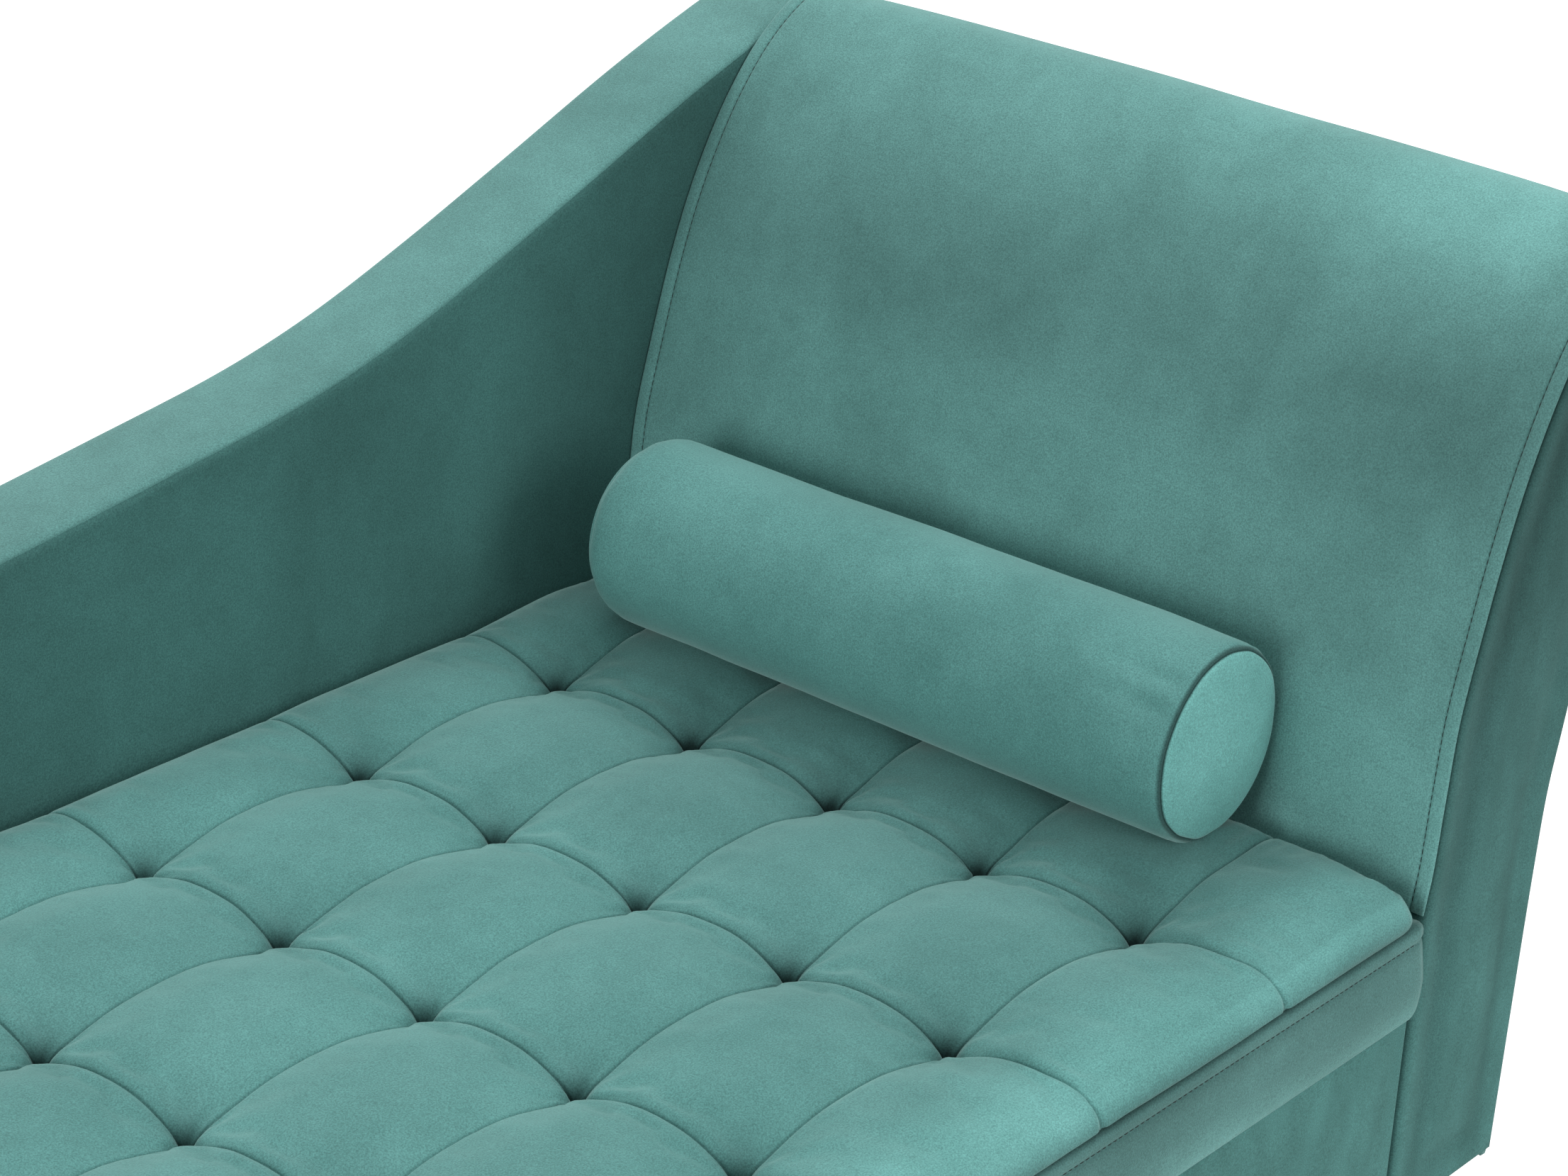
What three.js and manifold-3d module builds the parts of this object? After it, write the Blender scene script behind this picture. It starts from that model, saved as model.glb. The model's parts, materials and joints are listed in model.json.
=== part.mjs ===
// A storage fainting couch: a tufted seat that lifts as a lid, a rolled backrest at one end, one swooping
// arm and a loose bolster.
// Millimetres. X runs from the foot end to the backrest, Y from the open side to the arm, Z up.
// While it is built, x = 0 is the backrest's front face at seat level and y = 0 is halfway across the couch.
import * as THREE from "three";
import { mergeVertices } from "three/addons/utils/BufferGeometryUtils.js";
import Module from "manifold-3d";

const wasm = await Module();
wasm.setup();

// Whole couch
const SEAT_LENGTH = 1408; // foot face to the backrest's front face
const OVERALL_WIDTH = 668;
const OVERALL_HEIGHT = 748;
const TOUCH = 0.3; // gap between pieces that touch
const CUT_OVERRUN = 2; // how far a cut runs past what it cuts

// Legs
const LEG_LENGTH = 182;
const LEG_TOP_RADIUS = 22;
const LEG_FOOT_RADIUS = 13;
const LEG_CHAMFER = 2.5;
const LEG_PLATE_SIDE = 70;
const LEG_PLATE_THICKNESS = 3;
const GLIDE_RADIUS = 11;
const GLIDE_HEIGHT = 6;
const GLIDE_CHAMFER = 1.5;
const LEG_INSET_ENDS = 62; // leg axis to the foot face, and to the backrest's rear face
const LEG_INSET_SIDES = 62; // leg axis to the outer side faces

// Storage box
const BOX_HEIGHT = 140;
const BOX_RAIL_THICKNESS = 20;
const BOX_RECESS = 8; // how far the box stands back from the lid's band
const BOX_FLOOR_THICKNESS = 12;
const CORNER_BLOCK_SIDE = 50;
const CORNER_BLOCK_HEIGHT = 90;
const BUMPER_LENGTH = 30;
const BUMPER_WIDTH = 14;
const BUMPER_HEIGHT = 4; // also the shadow gap under the lid

// Lid
const LID_RAIL_HEIGHT = 24;
const LID_RAIL_WIDTH = 40;
const LID_BOARD_THICKNESS = 9;
const LID_BACK_CLEARANCE = 8; // lid frame to the backrest's front face
const LID_ARM_CLEARANCE = 6; // lid frame to the arm
const BAND_THICKNESS = 10;
const BAND_HEIGHT = 57;
const BAND_BOTTOM_ROUND = 5;
const BAND_TOP_SLOPE = 13; // height over which the band leans in under the cushion
const BAND_TOP_INSET = 4;

// Tufted cushion
const CUSHION_HEIGHT = 45; // lid board to the crown of a tuft's pillow
const TUFT_DEPTH = 31;
const TUFT_PITCH_X = 160.7;
const TUFT_PITCH_Y = 104.5;
const TUFT_ROWS = 8;
const TUFT_COLUMNS = 5;
const TUFT_BACK_INSET = 143; // first row to the backrest's front face
const TUFT_SIDE_INSET = 97; // first column to the open side
const CUSHION_OVERHANG = 8.5; // bulge past the lid frame on the open side and the foot
const CUSHION_ARM_OVERHANG = 5.2;
const CUSHION_LIP_RISE = 24.5; // lid board to the underside of the bulge
const CUSHION_EDGE_INSET = 9; // lid frame's outline to where the tufted top begins
const CUSHION_BACK_GAP = 4; // cushion to the backrest's front face
const EDGE_FADE = 62; // length over which a seam fades out towards the edge
const SEAM_RISE_SHARE = 0.72; // seam height halfway between tufts, as a share of the tuft depth
const SEAM_EDGE_SHARE = 0.97; // the same at the cushion's edge
const TUFT_STEPS = 4; // grid steps in one tuft pitch
const EDGE_STEPS_X = 2;
const EDGE_STEPS_Y = 2;
// Each ring of the rounded edge, from its underside up: share of the rise from lip to crown, share of the
// overhang, and share of the edge inset by which the ring stands back at the hinge end.
const EDGE_RING_SHARES = [
  [0, 0.75, 0],
  [0.27, 1, 0.055],
  [0.7, 0.3, 0.62],
];
const EDGE_TOP_DROP_SHARE = 0.09; // drop at the edge of the tufted top, as a share of the tuft depth

// Bolster
const BOLSTER_RADIUS = 57.5;
const BOLSTER_LENGTH = 410;
const BOLSTER_END_BULGE = 5;
const BOLSTER_EDGE_ROUND = 9;
const BOLSTER_CROWN = 1.5; // how much fatter the middle is than the ends
const BOLSTER_Y = -10; // its middle
const BOLSTER_YAW_DEGREES = 0.8;
const BOLSTER_CLEARANCE = 0.3; // to the seat's crown and to the backrest
const BOLSTER_SIDES = 32;

// Backrest
const BACK_REACH = 236; // front face at seat level to the rearmost point of the rolled top
const BACK_FOOT_DEPTH = 117;
const BACK_FRONT_PAD = 26;
const BACK_REAR_PAD = 12;
const BACK_SIDE_PANEL = 14;
const BACK_RIB_THICKNESS = 18;
const BACK_RAIL_DEPTH = 22;
const BACK_RAIL_HEIGHT = 50;
const BACK_FOOT_RAIL_HEIGHT = 25;
const BACK_STEPS = 44; // steps round the outline
const BACK_PAD_SHARE = 0.46; // where the front pad ends, as a share of the outline's length
// Shares of the reach and of the rise above the seat: up the front, over the roll and down the rear.
const BACK_OUTLINE_SHARES = [
  [0, 0],
  [0.019, 0.062],
  [0.036, 0.195],
  [0.055, 0.318],
  [0.105, 0.447],
  [0.168, 0.585],
  [0.224, 0.681],
  [0.292, 0.77],
  [0.372, 0.851],
  [0.475, 0.927],
  [0.58, 0.977],
  [0.67, 1],
  [0.76, 0.989],
  [0.85, 0.95],
  [0.93, 0.893],
  [0.985, 0.825],
  [1, 0.755],
  [0.97, 0.69],
  [0.9, 0.63],
  [0.81, 0.57],
  [0.72, 0.495],
  [0.65, 0.405],
  [0.605, 0.3],
  [0.57, 0.19],
  [0.54, 0.09],
  [0.525, -0.05],
];
const BACK_RAIL_SHARES = { back_rail_middle: [0.3, 0.38], back_rail_top: [0.58, 0.68] };

// Arm
const ARM_THICKNESS = 68;
const ARM_SIDE_PAD = 20;
const ARM_TOP_PAD = 14;
const ARM_FOOT_HEIGHT = 337; // above the box's underside
const ARM_PEAK_DROP = 10; // below the top of the backrest
const ARM_CORNER_RADIUS = 45;
const ARM_CORNER_STEPS = 5;
const ARM_STEPS = 30;
const ARM_REAR_SHARE = 0.465; // where the arm's outline joins the backrest's, as a share of its length
// Across, shares of the seat's length in front of the backrest's face and of the backrest's reach behind it.
// Up, shares of the rise from foot to peak.
const ARM_TOP_SHARES = [
  [-0.85, 0.003],
  [-0.71, 0.014],
  [-0.57, 0.048],
  [-0.44, 0.095],
  [-0.344, 0.162],
  [-0.261, 0.234],
  [-0.189, 0.305],
  [-0.143, 0.379],
  [-0.092, 0.495],
  [-0.03, 0.656],
  [0.233, 0.84],
  [0.531, 0.956],
  [0.65, 0.992],
  [0.76, 1],
  [0.86, 0.945],
];

// Hinges
const PIN_RADIUS = 2.5;
const KNUCKLE_RADIUS = 5;
const KNUCKLE_COUNT = 5;
const LEAF_THICKNESS = 2.5;
const LEAF_WIDTH = 90;
const LEAF_LENGTH = 44;
const PIN_SETBACK = 7; // pin to the backrest's front face
const PIN_RISE = 22; // pin above the lid board
const HINGE_INSET = 110; // hinge's middle to the ends of the lid frame
const HINGE_RAIL_THICKNESS = 22;
const HINGE_RAIL_RISE = 1.5; // top of the hinge rail above the pin
const NOTCH_CLEARANCE = 1.8; // cushion to the hinge

// Gas struts
const STRUT_SETBACK = 46; // lower pivot in front of the hinge pin
const STRUT_DROP = 152; // lower pivot below the hinge pin
const STRUT_LID_SETBACK = 200; // upper stud in front of the hinge pin
const STRUT_LID_DROP = 44; // upper stud below the hinge pin
const STRUT_WALL_GAP = 16; // lid rail to the strut's middle plane
const CYLINDER_RADIUS = 10;
const CYLINDER_LENGTH = 150; // lower pivot to the cylinder's mouth
const CYLINDER_FLOOR = 20; // lower pivot to the end of its bore
const ROD_RADIUS = 4;
const ROD_CLEARANCE = 0.6;
const ROD_TAIL = 26; // lower pivot to the rod's inner end, closed
const EYE_RADIUS = 9.5;
const EYE_WIDTH = 8;
const EYE_ROOT = 1.2; // how far the tube or rod runs into its eye
const STUD_RADIUS = 3;
const STUD_CLEARANCE = 0.3;
const OPEN_STUD_CLEARANCE = 2.9; // at the upper stud, which the lid's swing carries off the rod's line
const STUD_HEAD_RADIUS = 7;
const STUD_HEAD_WIDTH = 2;
const BRACKET_THICKNESS = 3;
const BRACKET_LENGTH = 30;
const BRACKET_HEIGHT = 20;
const ROUND_SIDES = 24;

// Heights and faces that follow from the sizes above
const BASE_BOTTOM_Z = GLIDE_HEIGHT + LEG_LENGTH + LEG_PLATE_THICKNESS;
const BOX_TOP_Z = BASE_BOTTOM_Z + BOX_HEIGHT;
const LID_BOTTOM_Z = BOX_TOP_Z + BUMPER_HEIGHT;
const BOARD_BOTTOM_Z = LID_BOTTOM_Z + LID_RAIL_HEIGHT;
const BOARD_TOP_Z = BOARD_BOTTOM_Z + LID_BOARD_THICKNESS;
const CROWN_Z = BOARD_TOP_Z + CUSHION_HEIGHT;
const PIN_X = -PIN_SETBACK;
const PIN_Z = BOARD_TOP_Z + PIN_RISE;
const BACK_FACE_Z = PIN_Z + HINGE_RAIL_RISE + TOUCH;
const BACK_RISE = OVERALL_HEIGHT - BACK_FACE_Z;
const OPEN_Y = -OVERALL_WIDTH / 2;
const ARM_OUTER_Y = OVERALL_WIDTH / 2;
const ARM_INNER_Y = ARM_OUTER_Y - ARM_THICKNESS;
const BOX_OPEN_Y = OPEN_Y + BOX_RECESS;
const BOX_FOOT_X = -SEAT_LENGTH + BOX_RECESS;
const HINGE_RAIL_X = PIN_X + KNUCKLE_RADIUS + TOUCH;
const RIB_FRONT_X = HINGE_RAIL_X + HINGE_RAIL_THICKNESS + TOUCH;
const RIB_OPEN_Y = BOX_OPEN_Y + BACK_SIDE_PANEL;
const LID = {
  x0: -SEAT_LENGTH + BAND_THICKNESS,
  x1: -LID_BACK_CLEARANCE,
  y0: OPEN_Y + BAND_THICKNESS,
  y1: ARM_INNER_Y - LID_ARM_CLEARANCE,
};

// Finishes
const velvet = new THREE.MeshStandardMaterial({ color: "#4f8f88", roughness: 0.9, metalness: 0 });
const hardwood = new THREE.MeshStandardMaterial({ color: "#3b2a20", roughness: 0.45, metalness: 0 });
const softwood = new THREE.MeshStandardMaterial({ color: "#d2b48a", roughness: 0.75, metalness: 0 });
const plywood = new THREE.MeshStandardMaterial({ color: "#c8a878", roughness: 0.7, metalness: 0 });
const steel = new THREE.MeshStandardMaterial({ color: "#b9bcc0", roughness: 0.35, metalness: 1 });
const blackSteel = new THREE.MeshStandardMaterial({ color: "#1b1c1e", roughness: 0.5, metalness: 0.6 });
const rubber = new THREE.MeshStandardMaterial({ color: "#26262a", roughness: 0.85, metalness: 0 });

const couch = new THREE.Group();

function addMesh(name, geometry, material) {
  const mesh = new THREE.Mesh(geometry, material);
  mesh.name = name;
  couch.add(mesh);
  return mesh;
}

// A box whose corners are set exactly, so that two boxes with a common face meet without overlap.
function boxBetween(x0, x1, y0, y1, z0, z1) {
  const geometry = new THREE.BoxGeometry();
  const corners = geometry.attributes.position;
  for (let i = 0; i < corners.count; i += 1) {
    const x = corners.getX(i) < 0 ? x0 : x1;
    const y = corners.getY(i) < 0 ? y0 : y1;
    corners.setXYZ(i, x, y, corners.getZ(i) < 0 ? z0 : z1);
  }
  return geometry;
}

// A polygon of [x, z] points, given a thickness from y0 to y1.
function slab(points, y0, y1) {
  const shape = new THREE.Shape(points.map(([x, z]) => new THREE.Vector2(x, z)));
  const geometry = new THREE.ExtrudeGeometry(shape, { depth: y1 - y0, bevelEnabled: false });
  return geometry.rotateX(Math.PI / 2).translate(0, y1, 0);
}

// A turned piece: [radius, height] points round the Z axis.
function turned(points, sides = ROUND_SIDES) {
  const profile = points.map(([r, h]) => new THREE.Vector2(r, h));
  return new THREE.LatheGeometry(profile, sides).rotateX(Math.PI / 2);
}

function roundBar(radius, z0, z1) {
  return turned([
    [0, z0],
    [radius, z0],
    [radius, z1],
    [0, z1],
  ]);
}

function toSolid(geometry) {
  const bare = geometry.index ? geometry.toNonIndexed() : geometry.clone();
  bare.deleteAttribute("normal");
  bare.deleteAttribute("uv");
  const merged = mergeVertices(bare);
  const triVerts = new Uint32Array(merged.index.array);
  const vertProperties = new Float32Array(merged.attributes.position.array);
  return new wasm.Manifold(new wasm.Mesh({ numProp: 3, vertProperties, triVerts }));
}

function toGeometry(solid) {
  const { vertProperties, triVerts } = solid.getMesh();
  const geometry = new THREE.BufferGeometry();
  geometry.setAttribute("position", new THREE.BufferAttribute(vertProperties, 3));
  geometry.setIndex(new THREE.BufferAttribute(triVerts, 1));
  return geometry;
}

function joined(...geometries) {
  return toGeometry(geometries.map(toSolid).reduce((whole, piece) => whole.add(piece)));
}

function cut(geometry, ...tools) {
  return toGeometry(tools.map(toSolid).reduce((left, tool) => left.subtract(tool), toSolid(geometry)));
}

function geometryFrom(vertices, faces) {
  const geometry = new THREE.BufferGeometry();
  geometry.setAttribute("position", new THREE.Float32BufferAttribute(vertices.flat(), 3));
  geometry.setIndex(faces.flat());
  return geometry;
}

// Moves each point of an open outline to its right-hand side by a distance, seen with x right and z up.
function inset(points, distance) {
  return points.map((point, i) => {
    const before = points[Math.max(i - 1, 0)];
    const after = points[Math.min(i + 1, points.length - 1)];
    const dx = after[0] - before[0];
    const dz = after[1] - before[1];
    const length = Math.hypot(dx, dz);
    return [point[0] + (distance * dz) / length, point[1] - (distance * dx) / length];
  });
}

// An outline whose first or last point is brought to the level where the piece is cut off square.
function squared(points, startZ, endZ) {
  if (startZ !== undefined) points[0][1] = startZ;
  if (endZ !== undefined) points.at(-1)[1] = endZ;
  return points;
}

function smoothCurve(points) {
  const vectors = points.map(([x, z]) => new THREE.Vector3(x, z, 0));
  return new THREE.CatmullRomCurve3(vectors, false, "centripetal");
}

// Points along a curve, set back from it to its right-hand side by a depth.
function samples(curve, steps, from = 0, to = 1, depth = 0) {
  return Array.from({ length: steps + 1 }, (_, i) => {
    const along = from + ((to - from) * i) / steps;
    const point = curve.getPointAt(along);
    const tangent = curve.getTangentAt(along);
    return [point.x + depth * tangent.y, point.y - depth * tangent.x];
  });
}

// Legs, their plates and their glides
function addLeg(label, x, y) {
  const plateTop = BASE_BOTTOM_Z;
  const legTop = plateTop - LEG_PLATE_THICKNESS;
  const half = LEG_PLATE_SIDE / 2;
  addMesh("leg_plate_" + label, boxBetween(x - half, x + half, y - half, y + half, legTop, plateTop), steel);
  const leg = turned([
    [0, GLIDE_HEIGHT],
    [LEG_FOOT_RADIUS - LEG_CHAMFER, GLIDE_HEIGHT],
    [LEG_FOOT_RADIUS, GLIDE_HEIGHT + LEG_CHAMFER],
    [LEG_TOP_RADIUS, legTop - LEG_CHAMFER],
    [LEG_TOP_RADIUS - LEG_CHAMFER, legTop],
    [0, legTop],
  ]);
  addMesh("leg_" + label, leg.translate(x, y, 0), hardwood);
  const glide = turned([
    [0, 0],
    [GLIDE_RADIUS - GLIDE_CHAMFER, 0],
    [GLIDE_RADIUS, GLIDE_CHAMFER],
    [GLIDE_RADIUS, GLIDE_HEIGHT],
    [0, GLIDE_HEIGHT],
  ]);
  addMesh("leg_glide_" + label, glide.translate(x, y, 0), rubber);
}

function addLegs() {
  const footX = -SEAT_LENGTH + LEG_INSET_ENDS;
  const rearX = BACK_FOOT_DEPTH - LEG_INSET_ENDS;
  const openY = OPEN_Y + LEG_INSET_SIDES;
  const armY = ARM_OUTER_Y - LEG_INSET_SIDES;
  addLeg("foot_open", footX, openY);
  addLeg("foot_arm", footX, armY);
  addLeg("rear_open", rearX, openY);
  addLeg("rear_arm", rearX, armY);
}

// Storage box under the lid
function addBox() {
  const railX0 = BOX_FOOT_X + BOX_RAIL_THICKNESS;
  const innerOpenY = BOX_OPEN_Y + BOX_RAIL_THICKNESS;
  const innerArmY = ARM_INNER_Y - BOX_RAIL_THICKNESS;
  const rail = (name, x0, x1, y0, y1, top, material) =>
    addMesh(name, boxBetween(x0, x1, y0, y1, BASE_BOTTOM_Z, top), material);
  rail("box_panel_open", railX0, HINGE_RAIL_X, BOX_OPEN_Y, innerOpenY, BOX_TOP_Z, velvet);
  rail("box_rail_arm", railX0, HINGE_RAIL_X, innerArmY, ARM_INNER_Y, BOX_TOP_Z, softwood);
  rail("box_panel_foot", BOX_FOOT_X, railX0, BOX_OPEN_Y, ARM_INNER_Y, BOX_TOP_Z, velvet);
  const hingeRailTop = PIN_Z + HINGE_RAIL_RISE;
  const hingeRailBack = HINGE_RAIL_X + HINGE_RAIL_THICKNESS;
  rail("hinge_rail", HINGE_RAIL_X, hingeRailBack, RIB_OPEN_Y, ARM_INNER_Y, hingeRailTop, softwood);
  const floorTop = BASE_BOTTOM_Z + BOX_FLOOR_THICKNESS;
  rail("box_floor", railX0, HINGE_RAIL_X, innerOpenY, innerArmY, floorTop, plywood);
  const blockTop = floorTop + CORNER_BLOCK_HEIGHT;
  for (const [name, y, inward] of [
    ["corner_block_open", innerOpenY, 1],
    ["corner_block_arm", innerArmY, -1],
  ]) {
    const shape = new THREE.Shape();
    shape.moveTo(railX0, y);
    shape.lineTo(railX0 + CORNER_BLOCK_SIDE, y);
    shape.lineTo(railX0, y + inward * CORNER_BLOCK_SIDE);
    const block = new THREE.ExtrudeGeometry(shape, { depth: CORNER_BLOCK_HEIGHT, bevelEnabled: false });
    addMesh(name, block.translate(0, 0, blockTop - CORNER_BLOCK_HEIGHT), softwood);
  }
  const railMiddle = BOX_RAIL_THICKNESS / 2;
  for (const [name, y] of [
    ["lid_bumper_open", innerOpenY - railMiddle],
    ["lid_bumper_arm", innerArmY + railMiddle - LID_ARM_CLEARANCE / 2],
  ]) {
    const half = BUMPER_WIDTH / 2;
    const bumper = boxBetween(railX0, railX0 + BUMPER_LENGTH, y - half, y + half, BOX_TOP_Z, LID_BOTTOM_Z);
    addMesh(name, bumper, rubber);
  }
}

// Backrest
const backCurve = smoothCurve([
  ...BACK_OUTLINE_SHARES.map(([reach, rise]) => [reach * BACK_REACH, BACK_FACE_Z + rise * BACK_RISE]),
  [BACK_FOOT_DEPTH, BASE_BOTTOM_Z],
]);

// The backrest's front face at a height.
function backFaceAt(z) {
  let low = 0;
  let high = BACK_PAD_SHARE / 2;
  for (let i = 0; i < BACK_STEPS; i += 1) {
    const middle = (low + high) / 2;
    if (backCurve.getPointAt(middle).y < z) low = middle;
    else high = middle;
  }
  return backCurve.getPointAt(low).x;
}

function addBackrest() {
  const padSteps = Math.round(BACK_STEPS * BACK_PAD_SHARE);
  const rearSteps = BACK_STEPS - padSteps;
  const seamEnd = BACK_PAD_SHARE + TOUCH / backCurve.getLength();
  const frontAt = (depth) => squared(samples(backCurve, padSteps, 0, BACK_PAD_SHARE, depth), BACK_FACE_Z);
  const rearAt = (depth) =>
    squared(samples(backCurve, rearSteps, seamEnd, 1, depth), undefined, BASE_BOTTOM_Z);
  const front = frontAt(0);
  const rear = rearAt(0);
  const frontPad = [...front, ...frontAt(BACK_FRONT_PAD).reverse()];
  addMesh("backrest_front_pad", slab(frontPad, RIB_OPEN_Y, ARM_INNER_Y), velvet);
  const rearPad = [...rear, ...rearAt(BACK_REAR_PAD).reverse()];
  addMesh("backrest_rear_pad", slab(rearPad, RIB_OPEN_Y, ARM_INNER_Y), velvet);
  const outline = [...front, ...rear];
  const panelFoot = [
    [HINGE_RAIL_X, BASE_BOTTOM_Z],
    [HINGE_RAIL_X, PIN_Z + HINGE_RAIL_RISE],
  ];
  addMesh("backrest_side_panel", slab([...panelFoot, ...outline], BOX_OPEN_Y, RIB_OPEN_Y), velvet);

  const ribFront = frontAt(BACK_FRONT_PAD + TOUCH);
  const ribRear = rearAt(BACK_REAR_PAD + TOUCH);
  const rib = [[RIB_FRONT_X, BASE_BOTTOM_Z], [RIB_FRONT_X, BACK_FACE_Z], ...ribFront, ...ribRear];
  const openRibY = RIB_OPEN_Y + BACK_RIB_THICKNESS;
  const armRibY = ARM_INNER_Y - BACK_RIB_THICKNESS;
  addMesh("backrest_rib_open", slab(rib, RIB_OPEN_Y, openRibY), plywood);
  addMesh("backrest_rib_arm", slab(rib, armRibY, ARM_INNER_Y), plywood);
  for (const [name, [reach, rise]] of Object.entries(BACK_RAIL_SHARES)) {
    const x = reach * BACK_REACH - BACK_RAIL_DEPTH / 2;
    const z = BACK_FACE_Z + rise * BACK_RISE - BACK_RAIL_HEIGHT / 2;
    const rail = boxBetween(x, x + BACK_RAIL_DEPTH, openRibY, armRibY, z, z + BACK_RAIL_HEIGHT);
    addMesh(name, rail, softwood);
  }
  const footRailTop = BASE_BOTTOM_Z + BACK_FOOT_RAIL_HEIGHT;
  const footRailBack = BACK_FOOT_DEPTH - BACK_REAR_PAD - TOUCH;
  const footRail = boxBetween(RIB_FRONT_X, footRailBack, openRibY, armRibY, BASE_BOTTOM_Z, footRailTop);
  addMesh("back_rail_foot", footRail, softwood);
}

// Arm
function armOutline() {
  const footX = -SEAT_LENGTH;
  const footTop = BASE_BOTTOM_Z + ARM_FOOT_HEIGHT;
  const peak = OVERALL_HEIGHT - ARM_PEAK_DROP;
  const corner = Array.from({ length: ARM_CORNER_STEPS + 1 }, (_, i) => {
    const turn = (Math.PI / 2) * (i / ARM_CORNER_STEPS);
    const x = footX + ARM_CORNER_RADIUS * (1 - Math.cos(turn));
    return [x, footTop - ARM_CORNER_RADIUS * (1 - Math.sin(turn))];
  });
  const rise = peak - footTop;
  const top = ARM_TOP_SHARES.map(([x, z]) => [x * (x < 0 ? SEAT_LENGTH : BACK_REACH), footTop + z * rise]);
  const sweep = samples(smoothCurve([corner.at(-1), ...top]), ARM_STEPS).slice(1);
  const rearSteps = Math.round(BACK_STEPS * (1 - ARM_REAR_SHARE));
  const rear = samples(backCurve, rearSteps, ARM_REAR_SHARE, 1);
  return [[footX, BASE_BOTTOM_Z], ...corner, ...sweep, ...rear];
}

function addArm() {
  const outline = armOutline();
  const padInside = squared(inset(outline, ARM_TOP_PAD), BASE_BOTTOM_Z, BASE_BOTTOM_Z);
  const topPad = [...outline, ...padInside.reverse()];
  addMesh("arm_top_pad", slab(topPad, ARM_INNER_Y, ARM_OUTER_Y), velvet);
  const core = squared(inset(outline, ARM_TOP_PAD + TOUCH), BASE_BOTTOM_Z, BASE_BOTTOM_Z);
  const frameY0 = ARM_INNER_Y + ARM_SIDE_PAD;
  const frameY1 = ARM_OUTER_Y - ARM_SIDE_PAD;
  addMesh("arm_inner_pad", slab(core, ARM_INNER_Y, frameY0), velvet);
  addMesh("arm_frame", slab(core, frameY0, frameY1), plywood);
  addMesh("arm_outer_pad", slab(core, frameY1, ARM_OUTER_Y), velvet);
}

// Lid frame, board and band
function addLid() {
  const { x0, x1, y0, y1 } = LID;
  const w = LID_RAIL_WIDTH;
  const rail = (name, ax, bx, ay, by) =>
    addMesh(name, boxBetween(ax, bx, ay, by, LID_BOTTOM_Z, BOARD_BOTTOM_Z), softwood);
  rail("lid_rail_open", x0, x1, y0, y0 + w);
  rail("lid_rail_arm", x0, x1, y1 - w, y1);
  rail("lid_rail_foot", x0, x0 + w, y0 + w, y1 - w);
  rail("lid_rail_hinge", x1 - w, x1, y0 + w, y1 - w);
  const middle = (x0 + x1) / 2;
  rail("lid_rail_middle", middle - w / 2, middle + w / 2, y0 + w, y1 - w);
  const board = boxBetween(x0, x1, y0, y1, BOARD_BOTTOM_Z, BOARD_TOP_Z);
  const recesses = hingeMiddles().map((y) => {
    const half = LEAF_WIDTH / 2 + TOUCH;
    const floor = BOARD_TOP_Z - LEAF_THICKNESS;
    const back = x1 + CUT_OVERRUN;
    const front = PIN_X - KNUCKLE_RADIUS - LEAF_LENGTH - TOUCH;
    return boxBetween(front, back, y - half, y + half, floor, BOARD_TOP_Z + CUT_OVERRUN);
  });
  addMesh("lid_board", cut(board, ...recesses), plywood);
}

// The band's section follows the open side and the foot end, mitred where they meet.
function addBand() {
  const { x0, x1, y0, y1 } = LID;
  const top = LID_BOTTOM_Z + BAND_HEIGHT;
  const section = [
    [TOUCH, LID_BOTTOM_Z],
    [BAND_THICKNESS - BAND_BOTTOM_ROUND, LID_BOTTOM_Z],
    [BAND_THICKNESS, LID_BOTTOM_Z + BAND_BOTTOM_ROUND],
    [BAND_THICKNESS, top - BAND_TOP_SLOPE],
    [BAND_THICKNESS - BAND_TOP_INSET, top],
    [TOUCH, top],
  ];
  const stations = [
    (out, z) => [x1, y0 - out, z],
    (out, z) => [x0 - out, y0 - out, z],
    (out, z) => [x0 - out, y1, z],
  ];
  const vertices = stations.flatMap((place) => section.map(([out, z]) => place(out, z)));
  const n = section.length;
  const last = (stations.length - 1) * n;
  const faces = [];
  for (let s = 0; s < stations.length - 1; s += 1) {
    for (let k = 0; k < n; k += 1) {
      const a = s * n + k;
      const b = s * n + ((k + 1) % n);
      faces.push([a, b, b + n], [a, b + n, a + n]);
    }
  }
  for (let k = 1; k < n - 1; k += 1) {
    faces.push([0, k + 1, k], [last, last + k, last + k + 1]);
  }
  addMesh("lid_band", geometryFrom(vertices, faces), velvet);
}

// Tufted cushion
function gridLines(edgeLow, first, pitch, count, edgeHigh, edgeSteps) {
  const last = first + pitch * (count - 1);
  const run = (from, to, steps) => Array.from({ length: steps }, (_, i) => from + ((to - from) * i) / steps);
  const middle = run(first, last, (count - 1) * TUFT_STEPS);
  return [...run(edgeLow, first, edgeSteps), ...middle, ...run(last, edgeHigh, edgeSteps), edgeHigh];
}

// How far a place has risen from the nearest seam, from 0 on it to 1 halfway to the next.
function riseFromSeam(place, first, pitch, count) {
  const index = Math.min(Math.max(Math.round((place - first) / pitch), 0), count - 1);
  const away = Math.min(Math.abs(place - first - index * pitch) / (pitch / 2), 1);
  return 1 - (1 - away) ** 2;
}

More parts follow.
